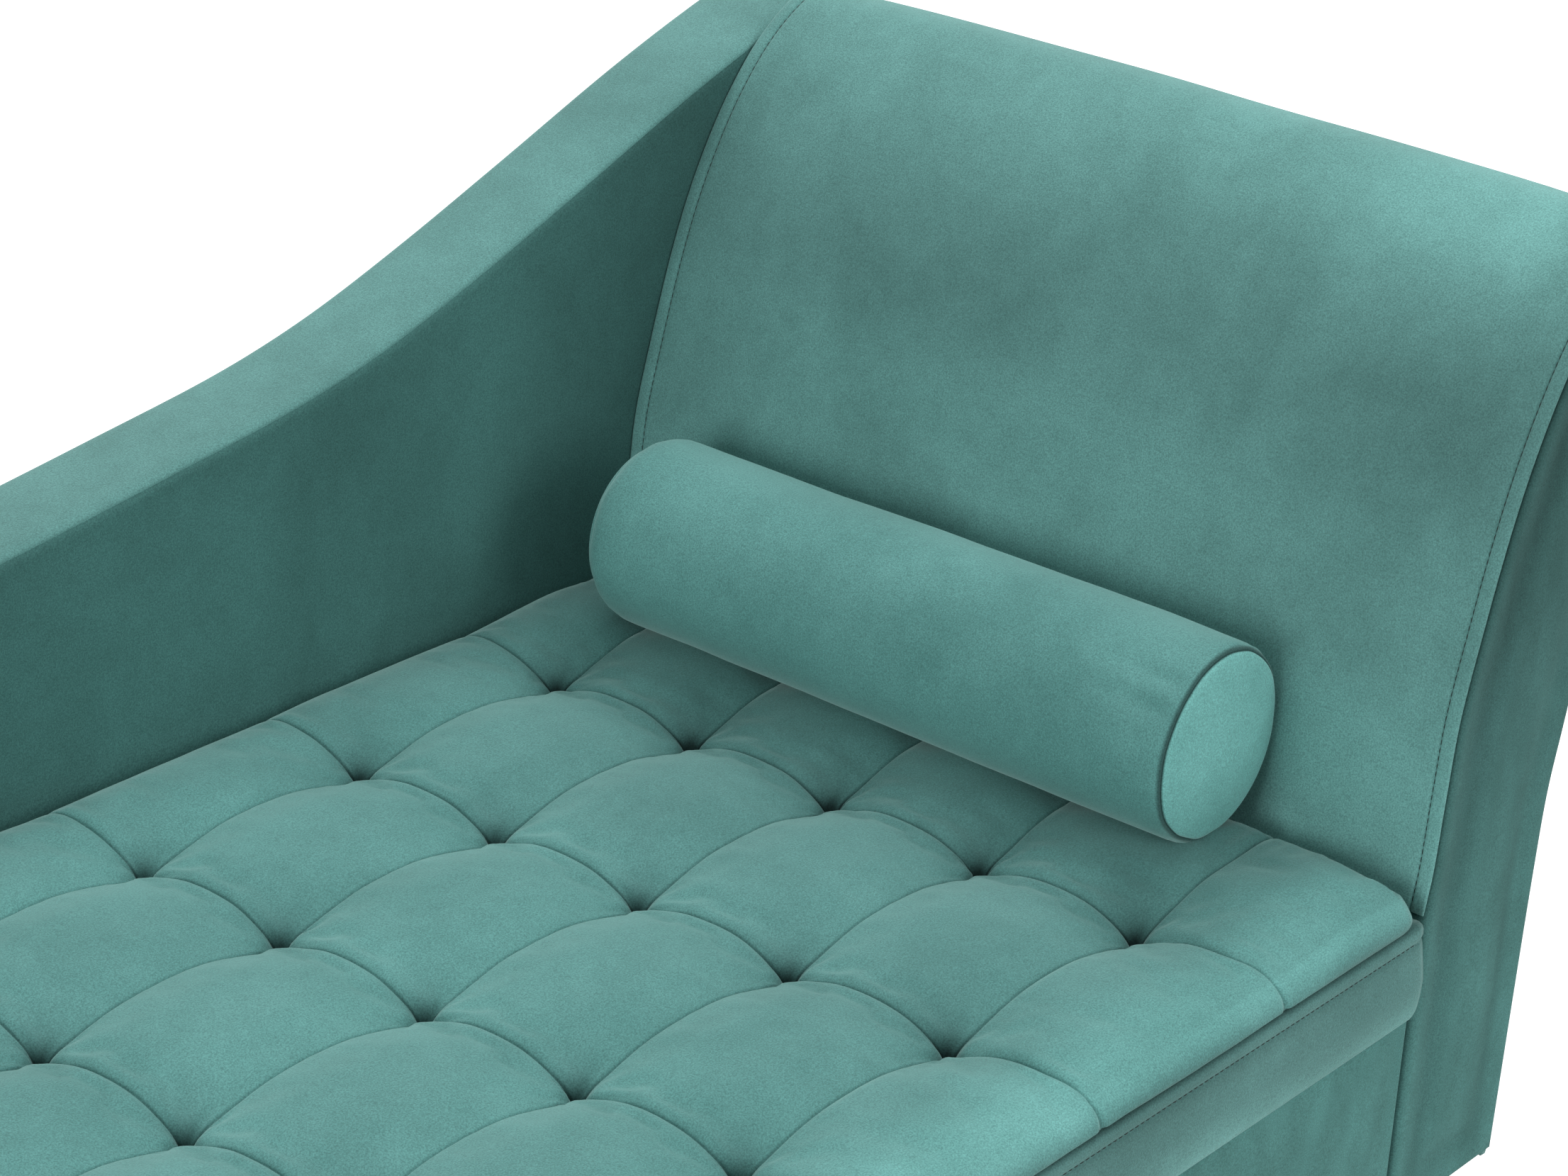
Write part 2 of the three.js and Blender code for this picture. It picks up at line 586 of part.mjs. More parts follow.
function addCushion() {
  const firstX = -TUFT_BACK_INSET - TUFT_PITCH_X * (TUFT_ROWS - 1);
  const firstY = OPEN_Y + TUFT_SIDE_INSET;
  const low = { x: LID.x0 + CUSHION_EDGE_INSET, y: LID.y0 + CUSHION_EDGE_INSET };
  const backX = -CUSHION_BACK_GAP;
  const high = { x: backX - 2 * CUSHION_EDGE_INSET, y: LID.y1 - CUSHION_EDGE_INSET };
  const xs = gridLines(low.x, firstX, TUFT_PITCH_X, TUFT_ROWS, high.x, EDGE_STEPS_X);
  const ys = gridLines(low.y, firstY, TUFT_PITCH_Y, TUFT_COLUMNS, high.y, EDGE_STEPS_Y);
  const height = (x, y) => {
    const edge = Math.min(x - low.x, high.x - x, y - low.y, high.y - y);
    const inside = Math.min(edge / EDGE_FADE, 1);
    const seam = SEAM_EDGE_SHARE + (SEAM_RISE_SHARE - SEAM_EDGE_SHARE) * inside;
    const sx = riseFromSeam(x, firstX, TUFT_PITCH_X, TUFT_ROWS);
    const sy = riseFromSeam(y, firstY, TUFT_PITCH_Y, TUFT_COLUMNS);
    const bridge = 1 - (1 - sx) * (1 - sy);
    const drop = EDGE_TOP_DROP_SHARE * (1 - inside) ** 2;
    return CROWN_Z - TUFT_DEPTH * (1 - seam * bridge - (1 - seam) * sx * sy + drop);
  };
  const nx = xs.length;
  const ny = ys.length;
  const vertices = xs.flatMap((x) => ys.map((y) => [x, y, height(x, y)]));
  const at = (i, j) => i * ny + j;
  const faces = [];
  for (let i = 0; i < nx - 1; i += 1) {
    for (let j = 0; j < ny - 1; j += 1) {
      faces.push([at(i, j), at(i + 1, j), at(i + 1, j + 1)], [at(i, j), at(i + 1, j + 1), at(i, j + 1)]);
    }
  }
  const border = [
    ...xs.slice(0, -1).map((_, i) => [i, 0]),
    ...ys.slice(0, -1).map((_, j) => [nx - 1, j]),
    ...xs.slice(1).map((_, i) => [nx - 1 - i, ny - 1]),
    ...ys.slice(1).map((_, j) => [0, ny - 1 - j]),
  ];
  // Each ring round the border is a rectangle, and the first stands under the edge of the tufted top.
  let upper = border.map(([i, j]) => at(i, j));
  const addRing = (x0, x1, y0, y1, z) => {
    const first = vertices.length;
    for (const [i, j] of border) {
      const x = i === 0 ? x0 : xs[i];
      const y = j === 0 ? y0 : ys[j];
      vertices.push([i === nx - 1 ? x1 : x, j === ny - 1 ? y1 : y, z]);
    }
    const lower = border.map((_, k) => first + k);
    border.forEach((_, k) => {
      const next = (k + 1) % border.length;
      faces.push([lower[k], lower[next], upper[next]], [lower[k], upper[next], upper[k]]);
    });
    upper = lower;
  };
  const { x0, y0, y1 } = LID;
  const lipZ = BOARD_TOP_Z + CUSHION_LIP_RISE;
  for (const [rise, out, back] of [...EDGE_RING_SHARES].reverse()) {
    const bulge = out * CUSHION_OVERHANG;
    const rear = backX - back * CUSHION_EDGE_INSET;
    addRing(x0 - bulge, rear, y0 - bulge, y1 + out * CUSHION_ARM_OVERHANG, lipZ + rise * (CROWN_Z - lipZ));
  }
  for (const z of [lipZ, BOARD_TOP_Z]) addRing(x0 + TOUCH, backX - TOUCH, y0 + TOUCH, y1 - TOUCH, z);
  const centre = vertices.length;
  vertices.push([(low.x + high.x) / 2, (low.y + high.y) / 2, BOARD_TOP_Z]);
  border.forEach((_, k) => faces.push([centre, upper[(k + 1) % border.length], upper[k]]));

  const notches = hingeMiddles().map((y) => {
    const half = LEAF_WIDTH / 2 + NOTCH_CLEARANCE;
    const front = PIN_X - KNUCKLE_RADIUS - NOTCH_CLEARANCE;
    const roof = PIN_Z + KNUCKLE_RADIUS + NOTCH_CLEARANCE;
    return boxBetween(front, CUT_OVERRUN, y - half, y + half, BOARD_TOP_Z - CUT_OVERRUN, roof);
  });
  addMesh("seat_cushion", cut(geometryFrom(vertices, faces), ...notches), velvet);
}

// Hinges
function hingeMiddles() {
  return [LID.y0 + HINGE_INSET, LID.y1 - HINGE_INSET];
}

function knuckle(y0, y1) {
  const ring = new THREE.Shape();
  ring.absarc(0, 0, KNUCKLE_RADIUS, 0, 2 * Math.PI, false);
  const bore = new THREE.Path();
  bore.absarc(0, 0, PIN_RADIUS + TOUCH, 0, 2 * Math.PI, true);
  ring.holes.push(bore);
  const options = { depth: y1 - y0, bevelEnabled: false, curveSegments: ROUND_SIDES };
  return new THREE.ExtrudeGeometry(ring, options).rotateX(Math.PI / 2).translate(PIN_X, y1, PIN_Z);
}

function addHinge(label, middle) {
  const pitch = LEAF_WIDTH / KNUCKLE_COUNT;
  const y0 = middle - LEAF_WIDTH / 2;
  const y1 = middle + LEAF_WIDTH / 2;
  const belowKnuckle = PIN_Z - KNUCKLE_RADIUS - TOUCH;
  const wall = KNUCKLE_RADIUS - LEAF_THICKNESS;
  const bore = roundBar(PIN_RADIUS + TOUCH, y0 - CUT_OVERRUN, y1 + CUT_OVERRUN);
  bore.rotateX(-Math.PI / 2).translate(PIN_X, 0, PIN_Z);
  const leaf = (first, side, foot, extra) => {
    const ax = PIN_X + side * wall;
    const bx = PIN_X + side * KNUCKLE_RADIUS;
    const [xLow, xHigh] = [Math.min(ax, bx), Math.max(ax, bx)];
    const pieces = [boxBetween(xLow, xHigh, y0, y1, foot, belowKnuckle), ...extra];
    for (let k = first; k < KNUCKLE_COUNT; k += 2) {
      const ky0 = y0 + k * pitch + TOUCH / 2;
      const ky1 = y0 + (k + 1) * pitch - TOUCH / 2;
      pieces.push(knuckle(ky0, ky1), boxBetween(xLow, xHigh, ky0, ky1, foot, PIN_Z));
    }
    return cut(joined(...pieces), bore);
  };
  const fixed = leaf(0, 1, PIN_Z - LEAF_LENGTH, []);
  addMesh("hinge_fixed_leaf_" + label, fixed, steel);
  const tongueFoot = BOARD_TOP_Z - LEAF_THICKNESS;
  const tongueFront = PIN_X - KNUCKLE_RADIUS - LEAF_LENGTH;
  const tongue = boxBetween(tongueFront, PIN_X - wall, y0, y1, tongueFoot, BOARD_TOP_Z);
  addMesh("hinge_moving_leaf_" + label, leaf(1, -1, tongueFoot, [tongue]), steel);
  const pin = roundBar(PIN_RADIUS, y0, y1).rotateX(-Math.PI / 2);
  addMesh("hinge_pin_" + label, pin.translate(PIN_X, 0, PIN_Z), steel);
}

// Gas struts
function eye(boreRadius) {
  const ring = new THREE.Shape();
  ring.absarc(0, 0, EYE_RADIUS, 0, 2 * Math.PI, false);
  const bore = new THREE.Path();
  bore.absarc(0, 0, boreRadius, 0, 2 * Math.PI, true);
  ring.holes.push(bore);
  const options = { depth: EYE_WIDTH, bevelEnabled: false, curveSegments: ROUND_SIDES / 2 };
  return new THREE.ExtrudeGeometry(ring, options).rotateX(Math.PI / 2).translate(0, EYE_WIDTH / 2, 0);
}

// A stud on a plate, standing out of a wall at wallY towards the strut.
function studBracket(x, z, wallY, strutY) {
  const inward = Math.sign(strutY - wallY);
  const plateY = wallY + inward * BRACKET_THICKNESS;
  const eyeFace = strutY + inward * (EYE_WIDTH / 2 + TOUCH);
  const reach = (eyeFace - plateY) * inward;
  const stud = turned([
    [0, -BRACKET_THICKNESS / 2],
    [STUD_RADIUS, -BRACKET_THICKNESS / 2],
    [STUD_RADIUS, reach],
    [STUD_HEAD_RADIUS, reach],
    [STUD_HEAD_RADIUS, reach + STUD_HEAD_WIDTH],
    [0, reach + STUD_HEAD_WIDTH],
  ]);
  stud.rotateX((-inward * Math.PI) / 2).translate(x, plateY, z);
  const dx = BRACKET_LENGTH / 2;
  const dz = BRACKET_HEIGHT / 2;
  const [yLow, yHigh] = [Math.min(wallY, plateY), Math.max(wallY, plateY)];
  return joined(boxBetween(x - dx, x + dx, yLow, yHigh, z - dz, z + dz), stud);
}

function addStrut(label, lidWallY, boxWallY) {
  const inward = Math.sign(lidWallY - boxWallY);
  const strutY = lidWallY + inward * STRUT_WALL_GAP;
  const foot = { x: PIN_X - STRUT_SETBACK, z: PIN_Z - STRUT_DROP };
  const head = { x: PIN_X - STRUT_LID_SETBACK, z: PIN_Z - STRUT_LID_DROP };
  const length = Math.hypot(foot.x - head.x, head.z - foot.z);
  const tilt = Math.atan2(head.z - foot.z, foot.x - head.x);
  addMesh("strut_box_bracket_" + label, studBracket(foot.x, foot.z, boxWallY, strutY), blackSteel);
  addMesh("strut_lid_bracket_" + label, studBracket(head.x, head.z, lidWallY, strutY), blackSteel);

  const boreRadius = ROD_RADIUS + ROD_CLEARANCE;
  const tube = turned([
    [0, EYE_RADIUS - EYE_ROOT],
    [CYLINDER_RADIUS, EYE_RADIUS - EYE_ROOT],
    [CYLINDER_RADIUS, CYLINDER_LENGTH],
    [boreRadius, CYLINDER_LENGTH],
    [boreRadius, CYLINDER_FLOOR],
    [0, CYLINDER_FLOOR],
  ]).rotateY(-Math.PI / 2);
  const cylinder = joined(eye(STUD_RADIUS + STUD_CLEARANCE), tube);
  const studHole = roundBar(STUD_RADIUS + STUD_CLEARANCE, -CYLINDER_RADIUS, CYLINDER_RADIUS);
  const rod = roundBar(ROD_RADIUS, ROD_TAIL, length - EYE_RADIUS + EYE_ROOT).rotateY(-Math.PI / 2);
  const rodEye = eye(STUD_RADIUS + OPEN_STUD_CLEARANCE).translate(-length, 0, 0);
  const strut = new THREE.Group();
  strut.position.set(foot.x, strutY, foot.z);
  strut.rotation.y = tilt;
  couch.add(strut);
  const cylinderSolid = cut(cylinder, studHole.rotateX(Math.PI / 2));
  strut.add(addMesh("strut_cylinder_" + label, cylinderSolid, blackSteel));
  strut.add(addMesh("strut_rod_" + label, joined(rodEye, rod), steel));
}

function addStruts() {
  addStrut("open", LID.y0 + LID_RAIL_WIDTH, BOX_OPEN_Y + BOX_RAIL_THICKNESS);
  addStrut("arm", LID.y1 - LID_RAIL_WIDTH, ARM_INNER_Y - BOX_RAIL_THICKNESS);
}

// Loose bolster, lying in the corner of seat and backrest
function addBolster() {
  const half = BOLSTER_LENGTH / 2;
  const endRadius = BOLSTER_RADIUS - BOLSTER_CROWN;
  const quarter = BOLSTER_EDGE_ROUND / 4;
  const end = (side) => [
    [0, side * half],
    [endRadius / 2, side * (half - BOLSTER_END_BULGE / 4)],
    [endRadius - BOLSTER_EDGE_ROUND, side * (half - BOLSTER_END_BULGE)],
    [endRadius - quarter, side * (half - BOLSTER_END_BULGE - quarter)],
    [endRadius, side * (half - BOLSTER_END_BULGE - BOLSTER_EDGE_ROUND)],
    [BOLSTER_RADIUS, side * (half / 2)],
  ];
  const profile = [...end(-1), ...end(1).reverse()];
  const bolster = turned(profile, BOLSTER_SIDES).rotateX(Math.PI / 2);
  const z = CROWN_Z + BOLSTER_CLEARANCE + BOLSTER_RADIUS;
  const reach = BOLSTER_RADIUS + BOLSTER_CLEARANCE;
  const places = Array.from({ length: BOLSTER_SIDES + 1 }, (_, k) => {
    const turn = Math.PI * (k / BOLSTER_SIDES - 1 / 2);
    return backFaceAt(z + reach * Math.sin(turn)) - reach * Math.cos(turn);
  });
  const yaw = THREE.MathUtils.degToRad(BOLSTER_YAW_DEGREES);
  const mesh = addMesh("bolster", bolster, velvet);
  mesh.position.set(Math.min(...places) - (half / 2) * Math.sin(yaw), BOLSTER_Y, z);
  mesh.rotation.z = yaw;
}

addLegs();
addBox();
addBackrest();
addArm();
addLid();
addBand();
addCushion();
hingeMiddles().forEach((y, i) => addHinge(["open", "arm"][i], y));
addStruts();
addBolster();

// The finished couch stands with the middle of its outline at the origin.
couch.position.x = (SEAT_LENGTH - BACK_REACH) / 2;

export default couch;
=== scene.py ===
"""A storage fainting couch: velvet upholstery, bolster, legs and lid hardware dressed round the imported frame.

Metres, in the frame's own axes: X from the foot end to the backrest, Y from the open side to the arm, Z up.
"""

import json
import logging
import math
from dataclasses import dataclass
from enum import Enum

import bpy
import numpy as np
from mathutils import Matrix, Vector
from mathutils.geometry import delaunay_2d_cdt


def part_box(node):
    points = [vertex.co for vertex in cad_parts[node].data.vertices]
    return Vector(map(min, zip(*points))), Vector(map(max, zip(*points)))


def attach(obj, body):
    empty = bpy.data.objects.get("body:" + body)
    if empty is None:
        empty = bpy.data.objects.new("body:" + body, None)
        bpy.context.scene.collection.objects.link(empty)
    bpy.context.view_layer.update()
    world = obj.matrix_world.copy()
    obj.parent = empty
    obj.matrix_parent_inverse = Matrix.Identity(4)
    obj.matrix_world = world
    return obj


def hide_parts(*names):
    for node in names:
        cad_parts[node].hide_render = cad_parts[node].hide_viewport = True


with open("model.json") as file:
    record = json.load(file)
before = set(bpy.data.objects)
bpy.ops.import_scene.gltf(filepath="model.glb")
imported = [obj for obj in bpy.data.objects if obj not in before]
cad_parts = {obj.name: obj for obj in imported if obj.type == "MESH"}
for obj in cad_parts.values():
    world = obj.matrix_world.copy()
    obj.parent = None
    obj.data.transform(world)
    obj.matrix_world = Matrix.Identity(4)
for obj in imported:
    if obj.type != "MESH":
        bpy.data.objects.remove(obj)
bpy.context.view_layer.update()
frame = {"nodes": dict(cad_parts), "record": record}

MM = 0.001
TINY = 1e-9
FULL_TURN = 2 * math.pi
QUARTER_TURN = math.pi / 2
# Odd numbers that scramble the number of a noise cell, and the bits that are kept of it.
SEED_STEP, SEED_START = 7919, 17
MIX_STEP, CELL_STEP, MIX_START, LAST_STEP = 1664525, 374761393, 1013904223, 2246822519
LOW_32, LOW_24 = 0xFFFFFFFF, 0xFFFFFF
log = logging.getLogger("couch")


# Numbers and curves


def ease(value: np.ndarray) -> np.ndarray:
    """Smooth step from 0 to 1, for values clipped to that range."""
    t = np.clip(value, 0, 1)
    return t * t * (3 - 2 * t)


def ramp(value: np.ndarray, start: float, length: float) -> np.ndarray:
    """Smooth step that leaves 0 at the start and reaches 1 a length further on."""
    return ease((value - start) / length)


def bell(value: np.ndarray, width: float, middle: float = 0.0) -> np.ndarray:
    """A smooth bump: 1 in its middle, and about a third at its width."""
    return np.exp(-(((value - middle) / width) ** 2))


def fading(distance: np.ndarray, reach: float) -> np.ndarray:
    """What is left, at a distance, of something that falls to about a third over each reach."""
    return np.exp(-distance / reach)


def value_noise(points: np.ndarray, size: float, seed: int) -> np.ndarray:
    """Smooth noise from -1 to 1 that doesn't depend on the order of the points.

    Args:
        points: places in metres, one row each, in two or three columns.
        size: the width of one lump, in metres.
        seed: picks the pattern.

    Returns:
        One value for each point.
    """
    cells = points / size
    base = np.floor(cells).astype(np.int64)
    part = ease(cells - base)
    total = np.zeros(len(points))
    columns = points.shape[1]
    for corner in range(2**columns):
        bits = [(corner >> k) & 1 for k in range(columns)]
        mixed = np.full(len(points), seed * SEED_STEP + SEED_START, np.int64)
        weight = np.ones(len(points))
        for k, bit in enumerate(bits):
            mixed = (mixed * MIX_STEP + (base[:, k] + bit) * CELL_STEP + MIX_START) & LOW_32
            mixed ^= mixed >> 15
            weight *= part[:, k] if bit else 1 - part[:, k]
        mixed = (mixed * LAST_STEP) & LOW_32
        mixed ^= mixed >> 13
        total += weight * ((mixed & LOW_24) / LOW_24 * 2 - 1)
    return total


def line_noise(distance: float, size: float, seed: int) -> float:
    """One value of the same noise at a distance along a line."""
    return value_noise(np.array([[distance, 0.0]]), size, seed)[0]


class Outline:
    """A smooth line through points of the XZ plane, measured along its length."""

    def __init__(self, points: list, per_span: int = 40) -> None:
        """Joins the points by a centripetal curve.

        Args:
            points: (x, z) pairs in metres.
            per_span: how many straight steps stand for the curve between two points.
        """
        p = np.array(points, float)
        p = np.vstack([2 * p[0] - p[1], p, 2 * p[-1] - p[-2]])
        t = np.linspace(0, 1, per_span, endpoint=False)[:, None]
        line = []
        for a, b, c, d in zip(p[:-3], p[1:-2], p[2:-1], p[3:]):
            ab, bc, cd = (math.sqrt(np.linalg.norm(v - u)) for u, v in ((a, b), (b, c), (c, d)))
            start = ((b - a) / ab - (c - a) / (ab + bc) + (c - b) / bc) * bc
            end = ((c - b) / bc - (d - b) / (bc + cd) + (d - c) / cd) * bc
            cubic = 2 * b - 2 * c + start + end
            square = -3 * b + 3 * c - 2 * start - end
            line.append(b + start * t + square * t**2 + cubic * t**3)
        self.line = np.vstack([*line, p[-2]])
        steps = np.linalg.norm(np.diff(self.line, axis=0), axis=1)
        self.along = np.concatenate([[0], np.cumsum(steps)])
        self.length = float(self.along[-1])

    def at(self, distance: np.ndarray) -> np.ndarray:
        """Points at distances along the line."""
        return np.stack([np.interp(distance, self.along, self.line[:, k]) for k in (0, 1)], -1)

    def outward(self, distance: np.ndarray) -> np.ndarray:
        """Unit normals to the left of the line's direction.

        Args:
            distance: distances along the line.

        Returns:
            One (x, z) row for each distance.
        """
        reach = 2 * MM
        ahead = self.at(np.clip(distance + reach, 0, self.length))
        behind = self.at(np.clip(distance - reach, 0, self.length))
        run = ahead - behind
        run /= np.linalg.norm(run, axis=-1, keepdims=True)
        return np.stack([-run[..., 1], run[..., 0]], -1)


def resample(points: np.ndarray, step: float) -> np.ndarray:
    """Cuts a closed outline's sides into even steps and keeps its corners.

    Args:
        points: the outline's corners.
        step: the length of a step, about.

    Returns:
        The new points, counter-clockwise.
    """
    result = []
    for p, q in zip(points, np.roll(points, -1, 0)):
        count = max(1, round(float(np.linalg.norm(q - p)) / step))
        result += [p + (q - p) * k / count for k in range(count)]
    line = np.array(result)
    x, z = line[:, 0], line[:, 1]
    area = float((x * np.roll(z, -1) - np.roll(x, -1) * z).sum())
    return line if area > 0 else line[::-1]


# Meshes


def outward_faces(vertices: np.ndarray, faces: list) -> list:
    """Turns a closed skin's faces round together if they enclose a negative volume.

    Args:
        vertices: one row of x, y, z for each vertex.
        faces: lists of vertex numbers.

    Returns:
        The faces, all outwards.
    """
    volume = 0.0
    for face in faces:
        a = vertices[face[0]]
        for k in range(1, len(face) - 1):
            volume += float(np.dot(a, np.cross(vertices[face[k]], vertices[face[k + 1]])))
    return faces if volume >= 0 else [face[::-1] for face in faces]


def make_object(
    name: str, vertices: np.ndarray, faces: list, material: bpy.types.Material, painted_light_and_tone: np.ndarray | None = None
) -> bpy.types.Object:
    """A smooth-shaded mesh object at the origin, with its faces outwards.

    Args:
        name: the piece's name.
        vertices: one row of x, y, z for each vertex.
        faces: lists of vertex numbers.
        material: its only material.
        painted_light_and_tone: painted light and shade at each vertex, with some random tone: how much lighter
            or darker the colour is made there.

    Returns:
        The new object, linked to the scene.
    """
    mesh = bpy.data.meshes.new(name)
    mesh.from_pydata(vertices.tolist(), [], outward_faces(vertices, faces))
    if painted_light_and_tone is not None:
        mesh.attributes.new("painted_light_and_tone", "FLOAT", "POINT").data.foreach_set("value", np.asarray(painted_light_and_tone, np.float32))
    mesh.validate()
    mesh.shade_smooth()
    mesh.materials.append(material)
    piece = bpy.data.objects.new(name, mesh)
    bpy.context.scene.collection.objects.link(piece)
    return piece


def swept(sections: np.ndarray) -> tuple[np.ndarray, list]:
    """A closed skin over closed sections, capped at both ends.

    Args:
        sections: an array of sections by points by x, y, z.

    Returns:
        The vertices and the faces.
    """
    n, m, _ = sections.shape
    number = np.arange(n * m).reshape(n, m)
    a, b = number[:-1], number[1:]
    quads = np.stack([a, b, np.roll(b, -1, 1), np.roll(a, -1, 1)], -1).reshape(-1, 4)
    faces = quads.tolist() + [number[0].tolist(), number[-1][::-1].tolist()]
    return sections.reshape(-1, 3), faces


def ring_faces(first: list, second: list) -> list:
    """Four-sided faces that join two closed rings of vertex numbers."""
    return np.stack([first, np.roll(first, -1), np.roll(second, -1), second], -1).tolist()


def grid_faces(number: np.ndarray) -> np.ndarray:
    """Four-sided faces between the rows and columns of vertex numbers."""
    corners = [number[:-1, :-1], number[1:, :-1], number[1:, 1:], number[:-1, 1:]]
    return np.stack(corners, -1).reshape(-1, 4)


def upholster(
    piece: bpy.types.Object, node: str, body: str = "frame"
) -> bpy.types.Object:
    """Puts a padded cover in the place of its solid.

    Args:
        piece: the cover.
        node: the frame's solid that it stands for.
        body: the body that the cover rides on.

    Returns:
        The cover.
    """
    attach(piece, body)
    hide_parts(node)
    log.info("%s: %d vertices", piece.name, len(piece.data.vertices))
    return piece


# Cloth


def spread_weights(coarse: np.ndarray, fine: np.ndarray) -> np.ndarray:
    """Weights that carry values from coarse places to fine ones along one axis by smooth cubics.

    Args:
        coarse: the places that hold values, in order.
        fine: the places that want them.

    Returns:
        One row for each fine place and one column for each coarse place.
    """
    cell = np.clip(np.searchsorted(coarse, fine, side="right") - 1, 0, len(coarse) - 2)
    t = np.clip((fine - coarse[cell]) / (coarse[cell + 1] - coarse[cell]), 0, 1)
    shares = (
        (-t + 2 * t**2 - t**3) / 2,
        (2 - 5 * t**2 + 3 * t**3) / 2,
        (t + 4 * t**2 - 3 * t**3) / 2,
        (t**3 - t**2) / 2,
    )
    weights = np.zeros((len(fine), len(coarse)))
    rows = np.arange(len(fine))
    for offset, share in zip((-1, 0, 1, 2), shares):
        np.add.at(weights, (rows, np.clip(cell + offset, 0, len(coarse) - 1)), share)
    return weights


@dataclass(frozen=True)
class Settling:
    """How a cover settles over its stuffing: a short cloth run under pressure, with its seams held still."""

    growth: float = 0.02
    pressure: float = 4.0
    frames: int = 20
    quality: int = 5
    bending: float = 0.5
    cap: float = 8 * MM

    def run(self, name: str, vertices: np.ndarray, faces: np.ndarray, held: np.ndarray) -> np.ndarray:
        """Runs the cloth on a sheet of its own and measures how far each vertex moved.

        Args:
            name: what the log calls the cover.
            vertices: the sheet before it settles, one row of x, y, z for each vertex.
            faces: rows of vertex numbers.
            held: true for each vertex that a seam or a tuft holds still.

        Returns:
            Each vertex's move, none longer than the cap.
        """
        mesh = bpy.data.meshes.new(name + "_sheet")
        mesh.from_pydata(vertices.tolist(), [], faces.tolist())
        sheet = bpy.data.objects.new(name + "_sheet", mesh)
        bpy.context.scene.collection.objects.link(sheet)
        group = sheet.vertex_groups.new(name="held")
        group.add(np.flatnonzero(held).tolist(), 1.0, "REPLACE")
        cloth = sheet.modifiers.new("cloth", "CLOTH")
        cloth.settings.quality = self.quality
        cloth.settings.use_pressure = True
        cloth.settings.uniform_pressure_force = self.pressure
        cloth.settings.effector_weights.gravity = 0
        cloth.settings.vertex_group_mass = group.name
        cloth.settings.shrink_min = -self.growth
        cloth.settings.bending_stiffness = self.bending
        cloth.collision_settings.use_collision = False
        cloth.point_cache.frame_start = 1
        cloth.point_cache.frame_end = self.frames
        for frame_number in range(1, self.frames + 1):
            bpy.context.scene.frame_set(frame_number)
        settled = sheet.evaluated_get(bpy.context.evaluated_depsgraph_get()).to_mesh()
        places = np.empty(len(vertices) * 3)
        settled.vertices.foreach_get("co", places)
        move = places.reshape(-1, 3) - vertices
        bpy.data.objects.remove(sheet)
        bpy.data.meshes.remove(mesh)
        bpy.context.scene.frame_set(1)
        length = np.linalg.norm(move, axis=1, keepdims=True)
        log.info("%s settled: %d vertices, %.1f mm at most", name, len(vertices), float(length.max()) / MM)
        return move * np.minimum(1, self.cap / np.maximum(length, TINY))


# Finishes


def linear(hex_colour: str) -> tuple[float, float, float, float]:
    """An sRGB hex colour as linear red, green, blue and alpha."""
    parts = [int(hex_colour[k : k + 2], 16) / 255 for k in (1, 3, 5)]
    return (*(p / 12.92 if p <= 0.04045 else ((p + 0.055) / 1.055) ** 2.4 for p in parts), 1.0)


def add_node(
    tree: bpy.types.NodeTree, kind: str, inputs: dict | None = None, **settings: object
) -> bpy.types.Node:
    """Adds a node with its settings, and sets or links its inputs.

    Args:
        tree: the tree that gets the node.
        kind: the node's type.
        inputs: a value or another node's output for each input, by name or number.
        **settings: the node's own properties.

    Returns:
        The new node.
    """
    node = tree.nodes.new(kind)
    for key, value in settings.items():
        setattr(node, key, value)
    for socket, value in (inputs or {}).items():
        if isinstance(value, bpy.types.NodeSocket):
            tree.links.new(value, node.inputs[socket])
        else:
            node.inputs[socket].default_value = value
    return node


def empty_material(name: str) -> tuple[bpy.types.Material, bpy.types.NodeTree, bpy.types.NodeSocket]:
    """A new material, its emptied tree, and a node in it that reads the place on the piece.

    Args:
        name: the material's name.

    Returns:
        The material, the tree, and the place in object coordinates.
    """
    material = bpy.data.materials.new(name)
    material.use_nodes = True
    tree = material.node_tree
    tree.nodes.clear()
    return material, tree, add_node(tree, "ShaderNodeTexCoord").outputs["Object"]


class Nap(Enum):
    """How light the velvet is made on a piece: partly the nap's own look, partly lit and shaded copies of one
    velvet, the closed one dark as painted shade on faces turned from the lamps.
    """

    OPEN = "open"
    LEVEL = "level"
    CLOSED = "closed"


# Two tones of random clouds for each copy of the velvet; the closed copy's are much darker, painted shade for
# faces turned from the lamps, partly the nap's own look.
PILE_COLOURS_LIT_AND_SHADED = {
    Nap.OPEN: ("#689f9b", "#5a8e8a"),
    Nap.LEVEL: ("#679995", "#598682"),
    Nap.CLOSED: ("#4f7e7a", "#456f6b"),
}
BLOOM_WEIGHTS = {Nap.OPEN: 0.62, Nap.LEVEL: 0.55, Nap.CLOSED: 0.18}
